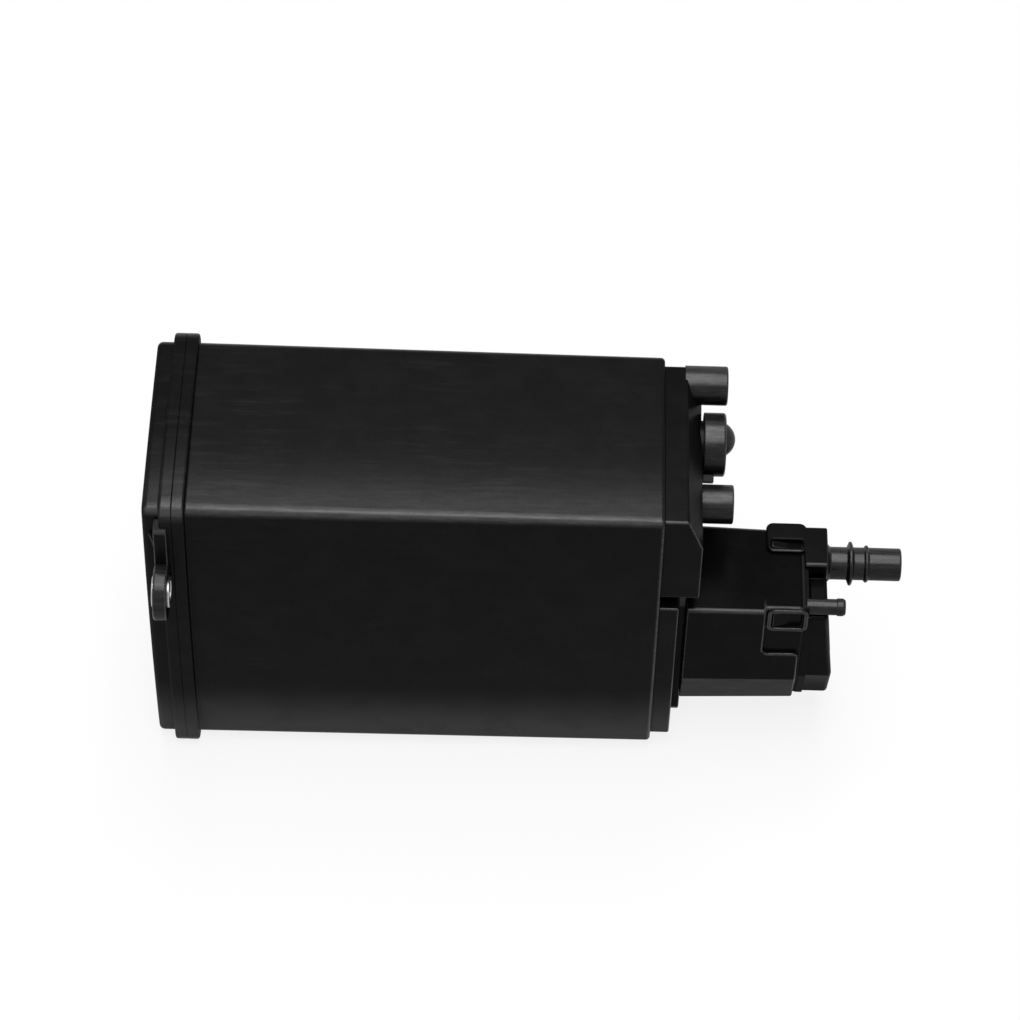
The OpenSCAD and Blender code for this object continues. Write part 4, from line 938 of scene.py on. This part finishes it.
zinc_steel = metal("zinc_steel", colour=(0.48, 0.48, 0.49), dull=(0.32, 0.32, 0.33), rough=(0.24, 0.4),
                   stretch=(4000, 200, 200))
brass = metal("brass", colour=(0.72, 0.5, 0.2), dull=(0.5, 0.34, 0.14), rough=(0.22, 0.4),
              stretch=(5000, 300, 300))
spring_steel = metal("spring_steel", colour=(0.5, 0.5, 0.51), dull=(0.3, 0.29, 0.28), rough=(0.25, 0.45),
                     stretch=(900, 900, 900))
print("metals:", [m.name for m in (zinc_steel, brass, spring_steel)])

# %% [markdown]
# ## Soft and loose fillings
# Carbon granules, foam and felt are only seen when the canister is opened. Cells of a Voronoi pattern make grains and
# pores at their real size, which modelled grains would do only with millions of faces. Twisted noise makes the fibres
# of the felt.

# %% Filling finishes
def cells(name, dark, light, size, rough, depth):
    """Grains or pores: distance to the nearest cell centre sets relief, a random value per cell sets the tone."""
    mat, tree, shader = new_material(name, rough, specular=0.2)
    coords = node(tree, "ShaderNodeTexCoord").outputs["Object"]
    grain_cells = node(tree, "ShaderNodeTexVoronoi", [("Vector", coords)], Scale=1 / size)
    tone = node(tree, "ShaderNodeSeparateColor", [(0, grain_cells.outputs["Color"])]).outputs[0]
    tint(tree, shader, dark, light, tone)
    tree.links.new(ramp(tree, tone, 0, 1, rough - 0.1, rough + 0.05), shader.inputs["Roughness"])
    bump(tree, shader, maths(tree, "SUBTRACT", 1.0, grain_cells.outputs["Distance"]), 0.8, depth)
    return mat


carbon = cells("carbon", dark=(0.008, 0.008, 0.008), light=(0.035, 0.035, 0.036), size=0.0018, rough=0.7,
               depth=0.0006)
foam = cells("foam", dark=(0.05, 0.05, 0.045), light=(0.16, 0.16, 0.145), size=0.0009, rough=0.9, depth=0.0004)
felt, tree, shader = new_material("felt", 0.95, specular=0.1)
coords = node(tree, "ShaderNodeTexCoord").outputs["Object"]
fibres = node(tree, "ShaderNodeTexNoise", [("Vector", coords)],
              Scale=900.0, Detail=6.0, Roughness=0.75, Distortion=2.0).outputs[0]
tint(tree, shader, (0.42, 0.4, 0.35), (0.72, 0.7, 0.63), ramp(tree, fibres, 0.3, 0.7))
bump(tree, shader, fibres, 0.7, 0.0004)
seal_rubber = plastic("seal_rubber", dark=0.01, light=0.03, gloss=(0.1, 0.2), rough=(0.6, 0.75), coat_rough=0.5,
                      scuff_and_sheen=0.1)
print("fillings:", [m.name for m in (carbon, foam, felt, seal_rubber)])

# %% Finishes on their pieces
FINISH = {
    shell_plastic: [shell, lid], housing_plastic: [housing, cover], cap_plastic: [cap], zinc_steel: [bush],
    brass: [inserts], plate_plastic: ["main_plate", "vent_plate"], carbon: ["main_carbon", "vent_carbon"],
    foam: ["main_port_foam", "vent_port_foam", "vent_filter", "trap_foam"],
    felt: ["main_lid_felt", "vent_lid_felt"], seal_rubber: ["cover_seal"],
    spring_steel: ["main_spring_near", "main_spring_far", "vent_spring"],
}
for mat, users in FINISH.items():
    for user in users:
        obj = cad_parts[user] if isinstance(user, str) else user
        obj.data.materials.clear()
        obj.data.materials.append(mat)
print("finishes:", len(FINISH), "on", sum(len(u) for u in FINISH.values()), "pieces")

# %% [markdown]
# ## Floor, light and camera
# The canister lies on a pale floor. One large soft box hangs straight above it, so that the long rounded edges show
# one clear line, and a pale surround fills the rest. Rays that show a background see nearly white, and the floor
# still keeps a shadow. The camera looks down at 51 degrees with a long lens, and is turned by 1.6 degrees, as the
# canister lies slightly askew in the picture.

# %% Floor and surround
bpy.ops.mesh.primitive_plane_add(size=8)
floor = bpy.context.object
floor.name = "floor"


def seen_white(tree):
    """1 for rays that show a background: from the camera, or mirrored or passed on to it."""
    rays = tree.nodes.new("ShaderNodeLightPath").outputs
    return maths(tree, "MAXIMUM", rays["Is Camera Ray"],
                 maths(tree, "MAXIMUM", rays["Is Glossy Ray"], rays["Is Transmission Ray"]))


pale, tree, shader = new_material("pale_floor", 0.9, specular=0.1)
shader.inputs["Base Color"].default_value = (0.9, 0.9, 0.9, 1)
glow = node(tree, "ShaderNodeEmission")
FLOOR_GLOW, SURROUND = 0.85, 0.25    # share of white that is seen on the floor; light from all round
blend = node(tree, "ShaderNodeMixShader", [(0, maths(tree, "MULTIPLY", seen_white(tree), FLOOR_GLOW)),
                                           (1, shader.outputs[0]), (2, glow.outputs[0])])
tree.links.new(blend.outputs[0], tree.nodes["Material Output"].inputs["Surface"])
floor.data.materials.append(pale)

world = bpy.data.worlds.new("surround")
bpy.context.scene.world = world
world.use_nodes = True
tree = world.node_tree
back = tree.nodes["Background"]
back.inputs["Color"].default_value = (1, 1, 1, 1)
tree.links.new(ramp(tree, seen_white(tree), 0, 1, SURROUND, 1.0), back.inputs["Strength"])
print("stage:", floor.name, "and", world.name)

# %% Lamps
def soft_box(name, place, aim, size, power):
    """A rectangular area lamp at a place on the drawing, turned to its aim."""
    lamp = bpy.data.lights.new(name, "AREA")
    lamp.shape, lamp.size, lamp.size_y, lamp.energy = "RECTANGLE", size[0], size[1], power
    obj = bpy.data.objects.new(name, lamp)
    bpy.context.scene.collection.objects.link(obj)
    p, q = Vector(to_frame(place)), Vector(to_frame(aim))
    obj.location = p
    obj.rotation_mode = "QUATERNION"
    obj.rotation_quaternion = (q - p).to_track_quat("-Z", "Y")
    return obj


overhead = soft_box("overhead", place=(100, 0, 2500), aim=(100, 0, 0), size=(1.0, 3.0), power=76)
print("lamp at", np.round(overhead.location, 2), "with", overhead.data.energy, "W")

# %% Camera
TILT, FAR, ROLL = math.radians(51), 1473.5, math.radians(1.57)
AIM, AIM_UP = (124.5, -39.1, 69.87), 1.2
SENSOR, FOCAL_PX, PICTURE_PX = 36, 4004, 1020
up = np.array([0, math.sin(TILT), math.cos(TILT)])
out = np.array([0, -math.cos(TILT), math.sin(TILT)])
right = np.array([1.0, 0, 0])
aim = np.array(AIM) + up * AIM_UP
eye = to_frame(aim + out * FAR)
axes = [right * math.cos(ROLL) + up * math.sin(ROLL), up * math.cos(ROLL) - right * math.sin(ROLL), out]
lens = bpy.data.cameras.new("view")
lens.sensor_width, lens.lens = SENSOR, SENSOR * FOCAL_PX / PICTURE_PX
lens.clip_start, lens.clip_end = 0.01, 20
camera = bpy.data.objects.new("view", lens)
bpy.context.scene.collection.objects.link(camera)
turned_to = np.eye(4)
turned_to[:3] = np.column_stack([*axes, eye])
camera.matrix_world = Matrix(turned_to.tolist())
bpy.context.scene.camera = camera
bpy.context.scene.view_settings.view_transform = "Standard"
print("camera at", np.round(eye, 3), "lens", round(lens.lens, 1))
